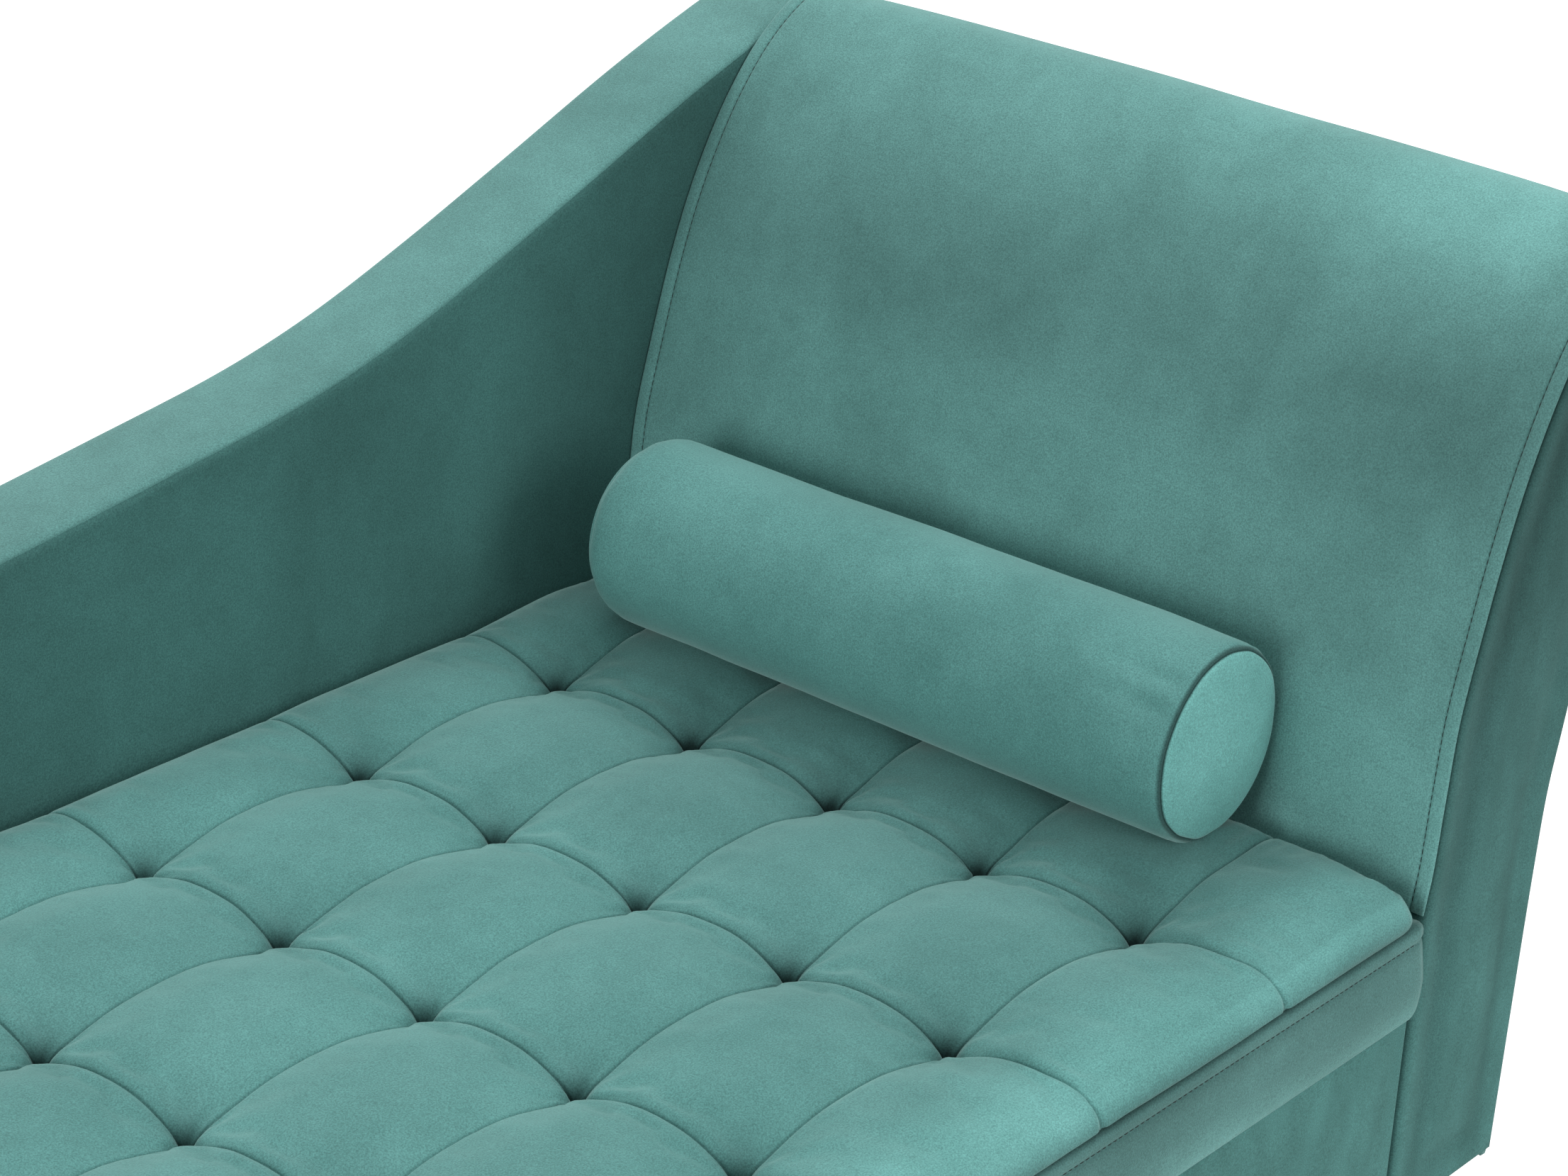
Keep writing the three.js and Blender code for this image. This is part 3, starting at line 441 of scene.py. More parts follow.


# Gives the eye a matt, even green-blue that turns pale at the rounded edges, clouds like the strokes of a
# hand brush, and a grain of single tufts of pile. The real pile is finer than the grain, which is drawn as
# coarse as it needs to show.
@dataclass(frozen=True)
class Velvet:
    """Short-pile polyester velvet, woven and cut.

    A float attribute on each mesh makes its colour lighter or darker at each vertex: painted light and shade,
    such as dark pits, seams and creases and pale rolled edges, and some random tone.
    """

    nap: Nap = Nap.LEVEL
    streaks: bool = False
    bloom: str = "#bcdfdb"
    grain: float = 0.9 * MM
    mottle: float = 14 * MM
    cloud: float = 110 * MM
    streak_width: float = 30 * MM
    streak_height: float = 76 * MM
    fleck: float = 0.26
    pile_relief: float = 0.4 * MM

    def build(self) -> bpy.types.Material:
        """The material, made once for each nap.

        Returns:
            The velvet.
        """
        name = f"velvet_{self.nap.value}" + ("_streaked" if self.streaks else "")
        if name in bpy.data.materials:
            return bpy.data.materials[name]
        material, tree, place = empty_material(name)
        fine = {"Vector": place, "Scale": 1 / self.grain, "Detail": 2.0, "Roughness": 0.6}
        lumps = {"Vector": place, "Scale": 1 / self.mottle, "Detail": 3.0, "Roughness": 0.55}
        clouds = {"Vector": place, "Scale": 1 / self.cloud, "Detail": 3.0, "Distortion": 0.5}
        if self.streaks:
            scale = (1 / self.streak_width, 1 / self.streak_width, 1 / self.streak_height)
            stretched = add_node(tree, "ShaderNodeMapping", {"Vector": place, "Scale": scale}).outputs[0]
            clouds = {"Vector": stretched, "Scale": 1.0, "Detail": 3.0, "Distortion": 0.4}
        grain, mottle, cloud = (
            add_node(tree, "ShaderNodeTexNoise", inputs).outputs["Fac"] for inputs in (fine, lumps, clouds)
        )
        pile, shade = (linear(colour) for colour in PILE_COLOURS_LIT_AND_SHADED[self.nap])
        mixed = {0: mottle, 1: 0.35, 2: cloud}
        faint = add_node(tree, "ShaderNodeMath", mixed, operation="MULTIPLY_ADD").outputs[0]
        spread = {"Value": faint, "From Min": 0.48, "From Max": 0.88}
        brush = add_node(tree, "ShaderNodeMapRange", spread, clamp=True).outputs["Result"]
        colour = add_node(tree, "ShaderNodeMix", {0: brush, 6: shade, 7: pile}, data_type="RGBA").outputs[2]
        flecked = {"Value": grain, "From Min": 0.3, "From Max": 0.7}
        flecked.update({"To Min": 1 - self.fleck, "To Max": 1 + self.fleck})
        fleck = add_node(tree, "ShaderNodeMapRange", flecked).outputs["Result"]
        # The attribute's painted light and shade, and random tone, scale the colour at each vertex.
        painted_light_and_tone = add_node(tree, "ShaderNodeAttribute", attribute_name="painted_light_and_tone").outputs["Fac"]
        painted_light_inputs = {0: painted_light_and_tone, 1: fleck, 2: fleck}
        lit = add_node(tree, "ShaderNodeMath", painted_light_inputs, operation="MULTIPLY_ADD").outputs[0]
        scaled = {0: colour, 3: lit}
        colour = add_node(tree, "ShaderNodeVectorMath", scaled, operation="SCALE").outputs["Vector"]
        relief = {0: mottle, 1: 0.4, 2: grain}
        height = add_node(tree, "ShaderNodeMath", relief, operation="MULTIPLY_ADD").outputs[0]
        raised = {"Height": height, "Strength": 0.6, "Distance": self.pile_relief}
        inputs = {
            "Base Color": colour,
            "Normal": add_node(tree, "ShaderNodeBump", raised).outputs["Normal"],
            "Roughness": 0.92,
            "IOR": 1.46,
            "Specular IOR Level": 0.1,
            "Sheen Weight": BLOOM_WEIGHTS[self.nap],
            "Sheen Roughness": 0.42,
            "Sheen Tint": linear(self.bloom),
        }
        shader = add_node(tree, "ShaderNodeBsdfPrincipled", inputs)
        add_node(tree, "ShaderNodeOutputMaterial", {"Surface": shader.outputs[0]})
        return material


@dataclass(frozen=True)
class Hard:
    """A rigid finish with a fine grain of its own: timber, plywood, steel, rubber or moulded plastic.

    The grain is the width of one streak or speck along X, Y and Z, in millimetres.
    """

    name: str
    light: str
    dark: str
    roughness: float
    grain: tuple
    metallic: float = 0.0
    coat: float = 0.0
    gloss_change: float = 0.06
    relief: float = 0.05 * MM

    def build(self) -> bpy.types.Material:
        """The material, with its grain stretched along one axis where the real one has a direction.

        Returns:
            The finish, made once.
        """
        if self.name in bpy.data.materials:
            return bpy.data.materials[self.name]
        material, tree, place = empty_material(self.name)
        scale = tuple(1 / (width * MM) for width in self.grain)
        scaled = add_node(tree, "ShaderNodeMapping", {"Vector": place, "Scale": scale}).outputs["Vector"]
        grained = {"Vector": scaled, "Scale": 1.0, "Detail": 4.0, "Distortion": 0.8}
        noise = add_node(tree, "ShaderNodeTexNoise", grained).outputs["Fac"]
        contrast = {"Value": noise, "From Min": 0.3, "From Max": 0.7}
        spread = add_node(tree, "ShaderNodeMapRange", contrast).outputs[0]
        mixed = {0: spread, 6: linear(self.dark), 7: linear(self.light)}
        dull, sharp = self.roughness + self.gloss_change, self.roughness - self.gloss_change
        raised = {"Height": noise, "Strength": 0.3, "Distance": self.relief}
        inputs = {
            "Base Color": add_node(tree, "ShaderNodeMix", mixed, data_type="RGBA").outputs[2],
            "Roughness": add_node(
                tree, "ShaderNodeMapRange", {"Value": noise, "To Min": sharp, "To Max": dull}
            ).outputs[0],
            "Normal": add_node(tree, "ShaderNodeBump", raised).outputs["Normal"],
            "Metallic": self.metallic,
            "Coat Weight": self.coat,
        }
        shader = add_node(tree, "ShaderNodeBsdfPrincipled", inputs)
        add_node(tree, "ShaderNodeOutputMaterial", {"Surface": shader.outputs[0]})
        return material


# Spun thread, painted much darker than the velvet it matches, as painted shade for the stitch holes: each
# stitch shows as a short dark dash.
STITCH_SHADE_THREAD = Hard("sewing_thread_painted_dark", "#1f3d3a", "#10211f", 0.75, (1.11, 1.11, 1.11))
# Turned, stained and lacquered: brown streaks run down each leg under a soft gloss.
LEG_WOOD = Hard("rubberwood_dark_stain", "#4a2f1e", "#24140b", 0.32, (6.25, 6.25, 71.4), coat=0.4)
# Sawn and planed, left bare: pale yellow boards with long broad grain and no shine.
PINE = Hard("planed_pine", "#d8b98c", "#b98f5c", 0.62, (83.3, 6.25, 6.25))
# Rotary-cut faces, left bare: paler and flatter than the pine, with short wavy figure.
PLYWOOD = Hard("birch_plywood", "#cdae80", "#b1905f", 0.6, (62.5, 6.25, 11.1))
# Pressed sheet with a plated skin: a cool light grey, faintly clouded, that blurs what it reflects.
ZINC = Hard("zinc_plated_steel", "#c9ccd0", "#a8acb1", 0.34, (4.55, 4.55, 4.55), metallic=1.0)
# Ground and plated: nearly a mirror, so the rods are bright lines beside the black tubes.
CHROME = Hard("ground_chromed_rod", "#dcdee0", "#c7cacd", 0.14, (1.11, 1.11, 1.11), metallic=1.0)
# Drawn tube with baked enamel: black, with a soft highlight along it.
ENAMEL = Hard("black_enamelled_tube", "#1d1e20", "#141517", 0.42, (3.33, 3.33, 3.33), coat=0.2)
# Moulded and left dull: charcoal with no highlight.
RUBBER = Hard("moulded_rubber", "#2c2c2e", "#1f1f21", 0.82, (2, 2, 2))
# Moulded plastic: dark grey with a waxy half gloss.
GLIDE = Hard("moulded_polyethylene", "#2b2c2e", "#222325", 0.5, (2, 2, 2))


# The frame's own places


def low(node: str) -> Vector:
    """The lowest corner of a frame node."""
    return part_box(node)[0]


def high(node: str) -> Vector:
    """The highest corner of a frame node."""
    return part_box(node)[1]


BACK_FACE_X = low("backrest_front_pad").x
SEAT_LEVEL_Z = low("backrest_front_pad").z
BACK_REACH = high("backrest_side_panel").x - BACK_FACE_X
BACK_RISE = high("backrest_front_pad").z - SEAT_LEVEL_Z
BASE_Z = low("backrest_side_panel").z
BACK_FOOT_X = BACK_FACE_X + 117 * MM
FOOT_X = low("arm_top_pad").x
ARM_PEAK_Z = high("arm_top_pad").z
# Shares of the reach and of the rise above the seat: up the front, over the roll and down the rear.
BACK_OUTLINE_SHARES = [
    (0, 0), (0.019, 0.062), (0.036, 0.195), (0.055, 0.318), (0.105, 0.447), (0.168, 0.585), (0.224, 0.681),
    (0.292, 0.77), (0.372, 0.851), (0.475, 0.927), (0.58, 0.977), (0.67, 1), (0.76, 0.989), (0.85, 0.95),
    (0.93, 0.893), (0.985, 0.825), (1, 0.755), (0.97, 0.69), (0.9, 0.63), (0.81, 0.57), (0.72, 0.495),
    (0.65, 0.405), (0.605, 0.3), (0.57, 0.19), (0.54, 0.09), (0.525, -0.05),
]
# Shares of the seat's length in front of the backrest's face, or of its reach behind it, and of the rise.
ARM_TOP_SHARES = [
    (-0.85, 0.003), (-0.71, 0.014), (-0.57, 0.048), (-0.44, 0.095), (-0.344, 0.162), (-0.261, 0.234),
    (-0.189, 0.305), (-0.143, 0.379), (-0.092, 0.495), (-0.03, 0.656), (0.233, 0.84), (0.531, 0.956),
    (0.65, 0.992), (0.76, 1), (0.86, 0.945),
]
# Shares of the outline's length, where the roll's rear seam lies and where the arm leaves the roll.
FRONT_SEAM_SHARE = 0.46
ARM_REAR_SHARE = 0.465


def back_outline() -> Outline:
    """The backrest's outline, from seat level over the roll to the floor of the box."""
    points = [(BACK_FACE_X + a * BACK_REACH, SEAT_LEVEL_Z + b * BACK_RISE) for a, b in BACK_OUTLINE_SHARES]
    return Outline([*points, (BACK_FOOT_X, BASE_Z)])


# Upholstery


@dataclass
class StitchRun:
    """A row of thread stitches along a line, made by a node tree that puts one stitch at each pitch."""

    pitch: float = 4.6 * MM
    length: float = 3.5 * MM
    thread: float = 0.55 * MM
    tree_name: str = "lay_stitches"

    def tree(self) -> bpy.types.NodeTree:
        """The node tree, with its pitch, stitch length and thread radius as named inputs.

        Returns:
            The tree, made once.
        """
        if self.tree_name in bpy.data.node_groups:
            return bpy.data.node_groups[self.tree_name]
        tree = bpy.data.node_groups.new(self.tree_name, "GeometryNodeTree")
        face = tree.interface
        face.new_socket("Line", in_out="INPUT", socket_type="NodeSocketGeometry")
        for name in ("Pitch", "Stitch Length", "Thread Radius"):
            face.new_socket(name, in_out="INPUT", socket_type="NodeSocketFloat")
        face.new_socket("Thread", in_out="INPUT", socket_type="NodeSocketMaterial")
        face.new_socket("Stitches", in_out="OUTPUT", socket_type="NodeSocketGeometry")
        source = add_node(tree, "NodeGroupInput").outputs
        curve = add_node(tree, "GeometryNodeMeshToCurve", {"Mesh": source["Line"]}).outputs[0]
        steps = {"Curve": curve, "Length": source["Pitch"]}
        spaced = add_node(tree, "GeometryNodeResampleCurve", steps, mode="LENGTH").outputs[0]
        round_shape = {"Segments": 6, "Rings": 4, "Radius": 1.0}
        ball = add_node(tree, "GeometryNodeMeshUVSphere", round_shape).outputs["Mesh"]
        halved = {0: source["Stitch Length"], 1: 0.5}
        half = add_node(tree, "ShaderNodeMath", halved, operation="MULTIPLY").outputs[0]
        radius = source["Thread Radius"]
        size = add_node(tree, "ShaderNodeCombineXYZ", {"X": radius, "Y": radius, "Z": half}).outputs[0]
        tangent = add_node(tree, "GeometryNodeInputTangent").outputs[0]
        turn = add_node(tree, "FunctionNodeAlignRotationToVector", {"Vector": tangent}, axis="Z").outputs[0]
        placed = {"Points": spaced, "Instance": ball, "Rotation": turn, "Scale": size}
        laid = add_node(tree, "GeometryNodeInstanceOnPoints", placed).outputs[0]
        real = add_node(tree, "GeometryNodeRealizeInstances", {"Geometry": laid}).outputs[0]
        finish = {"Geometry": real, "Material": source["Thread"]}
        dressed = add_node(tree, "GeometryNodeSetMaterial", finish).outputs[0]
        add_node(tree, "NodeGroupOutput", {"Stitches": dressed})
        return tree

    def sew(self, name: str, lines: list[np.ndarray], body: str) -> bpy.types.Object:
        """Lays stitches along lines and makes them one piece.

        Args:
            name: the piece's name.
            lines: arrays of points, each an open line.
            body: the body that the stitches ride on.

        Returns:
            The stitches as a plain mesh object.
        """
        vertices = np.vstack(lines)
        edges, first = [], 0
        for line in lines:
            edges += [(first + k, first + k + 1) for k in range(len(line) - 1)]
            first += len(line)
        guide_mesh = bpy.data.meshes.new(name + "_guide")
        guide_mesh.from_pydata(vertices.tolist(), edges, [])
        guide = bpy.data.objects.new(name + "_guide", guide_mesh)
        bpy.context.scene.collection.objects.link(guide)
        modifier = guide.modifiers.new("stitches", "NODES")
        modifier.node_group = self.tree()
        wanted = {
            "Pitch": self.pitch,
            "Stitch Length": self.length,
            "Thread Radius": self.thread,
            "Thread": STITCH_SHADE_THREAD.build(),
        }
        for item in self.tree().interface.items_tree:
            if item.in_out == "INPUT" and item.name in wanted:
                modifier[item.identifier] = wanted[item.name]
        mesh = bpy.data.meshes.new_from_object(guide.evaluated_get(bpy.context.evaluated_depsgraph_get()))
        mesh.shade_smooth()
        bpy.data.objects.remove(guide)
        piece = bpy.data.objects.new(name, mesh)
        bpy.context.scene.collection.objects.link(piece)
        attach(piece, body)
        log.info("%s: %d triangles", name, sum(len(p.vertices) - 2 for p in mesh.polygons))
        return piece


@dataclass
class Panel:
    """A flat stuffed panel with rounded edges: a closed outline, raised towards its middle."""

    bulge: float = 3 * MM
    bulge_reach: float = 45 * MM
    edge_drop: float = 5 * MM
    edge_reach: float = 11 * MM
    depth: float = 9 * MM
    spacing: float = 9 * MM
    ripple: float = 0.5 * MM
    ripple_width: float = 22 * MM
    ripple_height: float = 160 * MM
    inset: float = 0.0
    hollow: float = 0.0
    hollow_place: float = 24 * MM
    hollow_width_share: float = 0.45
    ring_shares: tuple = (0, 0.12, 0.3, 0.55, 0.85, 1.25, 1.8)
    sharpest_corner: float = 0.35
    seed: int = 3

    def rise(self, inset: np.ndarray) -> np.ndarray:
        """How far the surface stands out.

        Args:
            inset: distances inside the outline.

        Returns:
            One height for each distance.
        """
        edge = np.clip(inset / self.edge_reach, 0, 1)
        rounded = -self.edge_drop * (1 - np.sqrt(np.clip(1 - (1 - edge) ** 2, 0, 1)))
        sunk = self.hollow * bell(inset, self.hollow_width_share * self.hollow_place, self.hollow_place)
        return rounded - sunk + self.bulge * (1 - fading(inset, self.bulge_reach))

    def rings(self, outline: np.ndarray) -> list[np.ndarray]:
        """Copies of the outline, each further inside it than the last.

        Args:
            outline: the panel's outline.

        Returns:
            One array of points for each share of the edge's reach.
        """
        before, after = np.roll(outline, 1, 0), np.roll(outline, -1, 0)
        run_in = (outline - before) / np.linalg.norm(outline - before, axis=1, keepdims=True)
        run_out = (after - outline) / np.linalg.norm(after - outline, axis=1, keepdims=True)
        inward = np.stack([-(run_in + run_out)[:, 1], (run_in + run_out)[:, 0]], 1)
        inward /= np.maximum((inward**2).sum(1, keepdims=True) / 2, self.sharpest_corner)
        outline = outline + inward * self.inset
        return [outline + inward * self.edge_reach * share for share in self.ring_shares]

    def build(self, outline: np.ndarray) -> tuple[np.ndarray, np.ndarray, list]:
        """Rings inside the outline, then a mesh of its middle.

        Args:
            outline: points (a, b), counter-clockwise and evenly spaced.

        Returns:
            The flat points, how far each stands out, and the faces, closed by a back face.
        """
        rings = self.rings(outline)
        outline, inner = rings[0], rings[-1]
        m = len(outline)
        (a0, b0), (a1, b1) = inner.min(0), inner.max(0)
        grid = np.stack(np.meshgrid(np.arange(a0, a1, self.spacing), np.arange(b0, b1, self.spacing)), -1)
        grid = grid.reshape(-1, 2)
        margin = self.edge_reach * self.ring_shares[-1] + 0.4 * self.spacing
        grid = grid[self.distance(grid, outline) > margin]
        points = [Vector(p) for p in np.vstack([inner, grid])]
        loop = [(k, (k + 1) % m) for k in range(m)]
        flat, _, triangles, original, _, _ = delaunay_2d_cdt(points, loop, [], 1, 1e-7)
        number = {new: olds[0] if olds else -1 for new, olds in enumerate(original)}
        base = (len(rings) - 1) * m
        order = [new for new, old in number.items() if old < 0 or old >= m]
        place = {new: base + m + k for k, new in enumerate(order)}
        place.update({new: base + old for new, old in number.items() if 0 <= old < m})
        faces = [[place[v] for v in face] for face in triangles]
        for r in range(len(rings) - 1):
            faces += ring_faces(range(r * m, (r + 1) * m), range((r + 1) * m, (r + 2) * m))
        points = np.vstack([*rings, *([[np.array(flat[new]) for new in order]] if order else [])])
        inset = self.distance(points, outline)
        inset[:m] = 0
        scaled = points / np.array([self.ripple_width, self.ripple_height])
        out = self.rise(inset)
        out += self.ripple * ease(inset / (2 * self.edge_reach)) * value_noise(scaled, 1.0, self.seed)
        back = np.arange(len(points), len(points) + m)
        faces += ring_faces(back, range(m))
        faces.append(back[::-1].tolist())
        return np.vstack([points, outline]), np.concatenate([out, np.full(m, -self.depth)]), faces

    @staticmethod
    def distance(points: np.ndarray, outline: np.ndarray) -> np.ndarray:
        """Signed distance inside a closed outline.

        Args:
            points: rows of (a, b).
            outline: the outline's points, in order.

        Returns:
            One distance for each point, positive within the outline.
        """
        nearest = np.full(len(points), np.inf)
        inside = np.zeros(len(points), bool)
        for p, q in zip(outline, np.roll(outline, -1, 0)):
            run = q - p
            t = np.clip(((points - p) @ run) / max(run @ run, TINY**2), 0, 1)
            nearest = np.minimum(nearest, np.linalg.norm(points - p - t[:, None] * run, axis=1))
            crosses = (p[1] > points[:, 1]) != (q[1] > points[:, 1])
            rise = (points[:, 1] - p[1]) / (q[1] - p[1] if q[1] != p[1] else TINY**2)
            inside ^= crosses & (points[:, 0] < p[0] + rise * run[0])
        return np.where(inside, nearest, -nearest)


@dataclass(frozen=True)
class Seams:
    """The seat's seams that cross one axis, evenly spaced."""

    first: float
    pitch: float
    count: int
    crowding: float = 2.2
    even_share: float = 0.12
    outer_steps: int = 9
    least_step: float = 0.2 * MM

    @property
    def last(self) -> float:
        """The place of the last seam."""
        return self.first + self.pitch * (self.count - 1)

    def beside(self, value: np.ndarray) -> np.ndarray:
        """How far past the nearest seam each place is."""
        nearest = np.clip(np.round((value - self.first) / self.pitch), 0, self.count - 1)
        return value - self.first - self.pitch * nearest

    def away(self, value: np.ndarray) -> np.ndarray:
        """How far from the nearest seam each place is."""
        return np.abs(self.beside(value))

    def crowded(self, start: float, end: float, steps: int) -> np.ndarray:
        """Grid places that crowd at each seam.

        Args:
            start: the grid's first place.
            end: its last place.
            steps: how many steps from a seam to the middle of a square.

        Returns:
            The places, in order.
        """
        t = np.linspace(0, 1, steps + 1)
        near = self.pitch / 2 * (self.even_share * t + (1 - self.even_share) * t**self.crowding)
        places = [start, end]
        for k in range(self.count):
            seam = self.first + k * self.pitch
            places += [*(seam - near), *(seam + near)]
        last = self.first + (self.count - 0.5) * self.pitch
        places += [*np.linspace(start, self.first - self.pitch / 2, self.outer_steps)]
        places += [*np.linspace(last, end, self.outer_steps)]
        places = np.sort(places)
        places = places[(places >= start - TINY) & (places <= end + TINY)]
        return places[np.concatenate([[True], np.diff(places) > self.least_step])]

    def even(self, start: float, end: float, step: float) -> np.ndarray:
        """Even places for the cloth run, with one on each seam.

        Args:
            start: the sheet's first place.
            end: its last place.
            step: the distance between two places, about.

        Returns:
            The places, in order.
        """
        steps = round(self.pitch / step)
        places = self.first + np.arange(steps * (self.count - 1) + 1) * self.pitch / steps
        before = np.linspace(start, self.first, max(2, round((self.first - start) / step) + 1))[:-1]
        after = np.linspace(places[-1], end, max(2, round((end - places[-1]) / step) + 1))[1:]
        return np.array([*before, *places, *after])


@dataclass(frozen=True)
class SeatPaintedLight:
    """Painted light and shade on the seat, as shares of its colour, and over what distances.

    Painted shade in the tufts' pits, behind them, in the seams and towards the backrest, painted highlights
    beside the tufts and along the open edges, and random clouds of tone.
    """

    # Painted shade in each tuft's pit and on its far slopes, and a painted highlight beside it.
    hole: float = -0.76
    hole_reach: float = 6.5 * MM
    behind: float = -0.55
    behind_reach: float = 16 * MM
    diagonal: float = 1.41
    least_away: float = 0.1 * MM
    beside: float = 0.26
    beside_start: float = 5 * MM
    beside_reach: float = 24 * MM
    # Painted shade in the seams' grooves, darker near the tufts.
    seam: float = -0.18
    seam_by_tuft: float = -0.3
    seam_reach: float = 26 * MM
    # A painted highlight along the open side and the foot.
    open_edge: float = 0.4
    open_edge_start: float = 14 * MM
    open_edge_length: float = 52 * MM
    clouds: float = 0.07
    cloud_size: float = 90 * MM
    level: float = 0.04
    # Painted shade towards the backrest and under it.
    to_rear: float = -0.24
    to_rear_start: float = -330 * MM
    to_rear_length: float = 360 * MM
    under_back: float = -0.2
    under_back_start: float = 40 * MM
    under_back_length: float = 60 * MM
    under_back_inset: float = 30 * MM
    darkest: float = -0.92
    # A painted highlight on the rim's roll, falling to painted shade at the crease, and painted shade where
    # seams run over it.
    rim: tuple = (0.36, 0.34, 0.3, 0.22, 0.12, 0.0, -0.12, -0.24, -0.36, -0.48, -0.6, -0.6, -0.6)
    rim_seam: float = -0.3


@dataclass
class TuftedSeat:
    """The seat: a cushion sewn in rectangles and pulled down where the seams cross."""

    pitch_x: float = 160.7 * MM
    pitch_y: float = 104.5 * MM
    rows: int = 8
    columns: int = 5
    back_inset: float = 143 * MM
    side_inset: float = 97 * MM
    fullness: float = 1 * MM
    rear_fullness: float = 2.5 * MM
    rear_length: float = 80 * MM
    pull: float = 17.5 * MM
    pull_slope: float = 1.5
    pull_bend: int = 6
    seam_depth_x: float = 2.8 * MM
    seam_depth_y: float = 3.8 * MM
    seam_by_tuft_share: float = 0.25
    calm_share: float = 0.3
    calm_start: float = 10 * MM
    calm_length: float = 60 * MM
    crown: float = 4.3 * MM
    lumps: tuple = ((1.0 * MM, 52 * MM), (0.3 * MM, 18 * MM))
    sheet_step: float = 6 * MM
    dome_power: float = 2.0
    pit_depth: float = 9 * MM
    pit_width: float = 4.2 * MM
    groove: float = 1.1 * MM
    groove_width: float = 0.75 * MM
    edge_radius: float = 30 * MM
    edge_height: float = 17 * MM
    edge_grid: float = 12 * MM
    edge_turns: int = 8
    side_turns: tuple = (0.35, 0.75, 1.1, 1.4)
    side_tuck: float = 3.5 * MM
    rim_inset: float = 14 * MM
    rim_lift: float = 0.4 * MM
    rim_notch: float = 1.8 * MM
    rim_notch_width: float = 2.6 * MM
    crease_rise: float = 59 * MM
    crease_wave: float = 0.9 * MM
    crease_wave_length: float = 50 * MM
    crease_turn_start: float = 20 * MM
    crease_turn_length: float = 30 * MM
    board_gap: float = 0.3 * MM
    hinge_gap: float = 2 * MM
    hinge_margin: float = 7 * MM
    corner_radius: float = 26 * MM
    corner_droop: float = 4 * MM
    corner_droop_reach: float = 2.4
    droop_depth: float = 16 * MM
    droop_length: float = 12 * MM
    tuck_depth: float = 3.3 * MM
    tuck_length: float = 36 * MM
    tuck_start: float = 6 * MM
    tuck_width: float = 1.3 * MM
    tuck_flare: float = 0.05
    tuck_area: float = 1.6
    tuck_shoulder: float = 2.8
    tuck_shoulder_share: float = 0.5
    tuck_angles: tuple = (0.12, 0.34)
    tuck_lengths: tuple = (0.6, 1.3)
    tuck_depths: tuple = (0.15, 1.0)
    steps_x: int = 21
    steps_y: int = 17
    seed: int = 11
    pile: SeatPaintedLight = SeatPaintedLight()

    def __post_init__(self) -> None:
        """Places the seams from the backrest's face and the lid's open side."""
        self.low, self.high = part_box("seat_cushion")
        first_x = BACK_FACE_X - self.back_inset - self.pitch_x * (self.rows - 1)
        self.seams_x = Seams(first_x, self.pitch_x, self.rows)
        self.seams_y = Seams(low("lid_band").y + self.side_inset, self.pitch_y, self.columns)

    def tuft_painted_light(self, x: np.ndarray, y: np.ndarray) -> np.ndarray:
        """Painted light round the tufts: painted shade in each pit and on the slopes behind it, and a painted
        highlight beside it.

        Args:
            x: places along the seat.
            y: places across it.

        Returns:
            The painted light and shade at the places.
        """
        pile = self.pile
        dx, dy = self.seams_x.beside(x), self.seams_y.beside(y)
        away = np.hypot(dx, dy) + pile.least_away
        behind = np.clip((dx + dy) / (pile.diagonal * away), 0, 1) * fading(away, pile.behind_reach)
        beside = np.clip((dx - dy) / (pile.diagonal * away), 0, 1) ** 2 * fading(away, pile.beside_reach)
        beside *= ease(away / pile.beside_start)
        return pile.hole * fading(away, pile.hole_reach) + pile.behind * behind + pile.beside * beside

    def painted_light_and_tone(self, x: np.ndarray, y: np.ndarray, cut: np.ndarray) -> np.ndarray:
        """The painted light and shade on the seat's top, with random clouds of tone.

        Args:
            x: places along the seat.
            y: places across it.
            cut: how deep in a seam's groove each place is, from 0 to 1.

        Returns:
            The painted light and tone, never so dark that its colour would turn round.
        """
        pile = self.pile
        from_tuft = np.hypot(self.seams_x.away(x), self.seams_y.away(y))
        past_last = x - self.seams_x.last
        open_edge = np.minimum(x - self.low.x, y - self.low.y)
        painted_light_and_tone = self.tuft_painted_light(x, y) + cut * (pile.seam + pile.seam_by_tuft * fading(from_tuft, pile.seam_reach))
        painted_light_and_tone += pile.open_edge * (1 - ramp(open_edge, pile.open_edge_start, pile.open_edge_length))
        painted_light_and_tone += pile.clouds * value_noise(np.stack([x, y], 1), pile.cloud_size, self.seed + 2)
        painted_light_and_tone += pile.level + pile.to_rear * ramp(past_last, pile.to_rear_start, pile.to_rear_length)
        under_back = ramp(past_last, pile.under_back_start, pile.under_back_length)
        painted_light_and_tone += pile.under_back * under_back * ramp(open_edge, pile.under_back_inset, pile.under_back_inset)
        return np.maximum(painted_light_and_tone, pile.darkest)

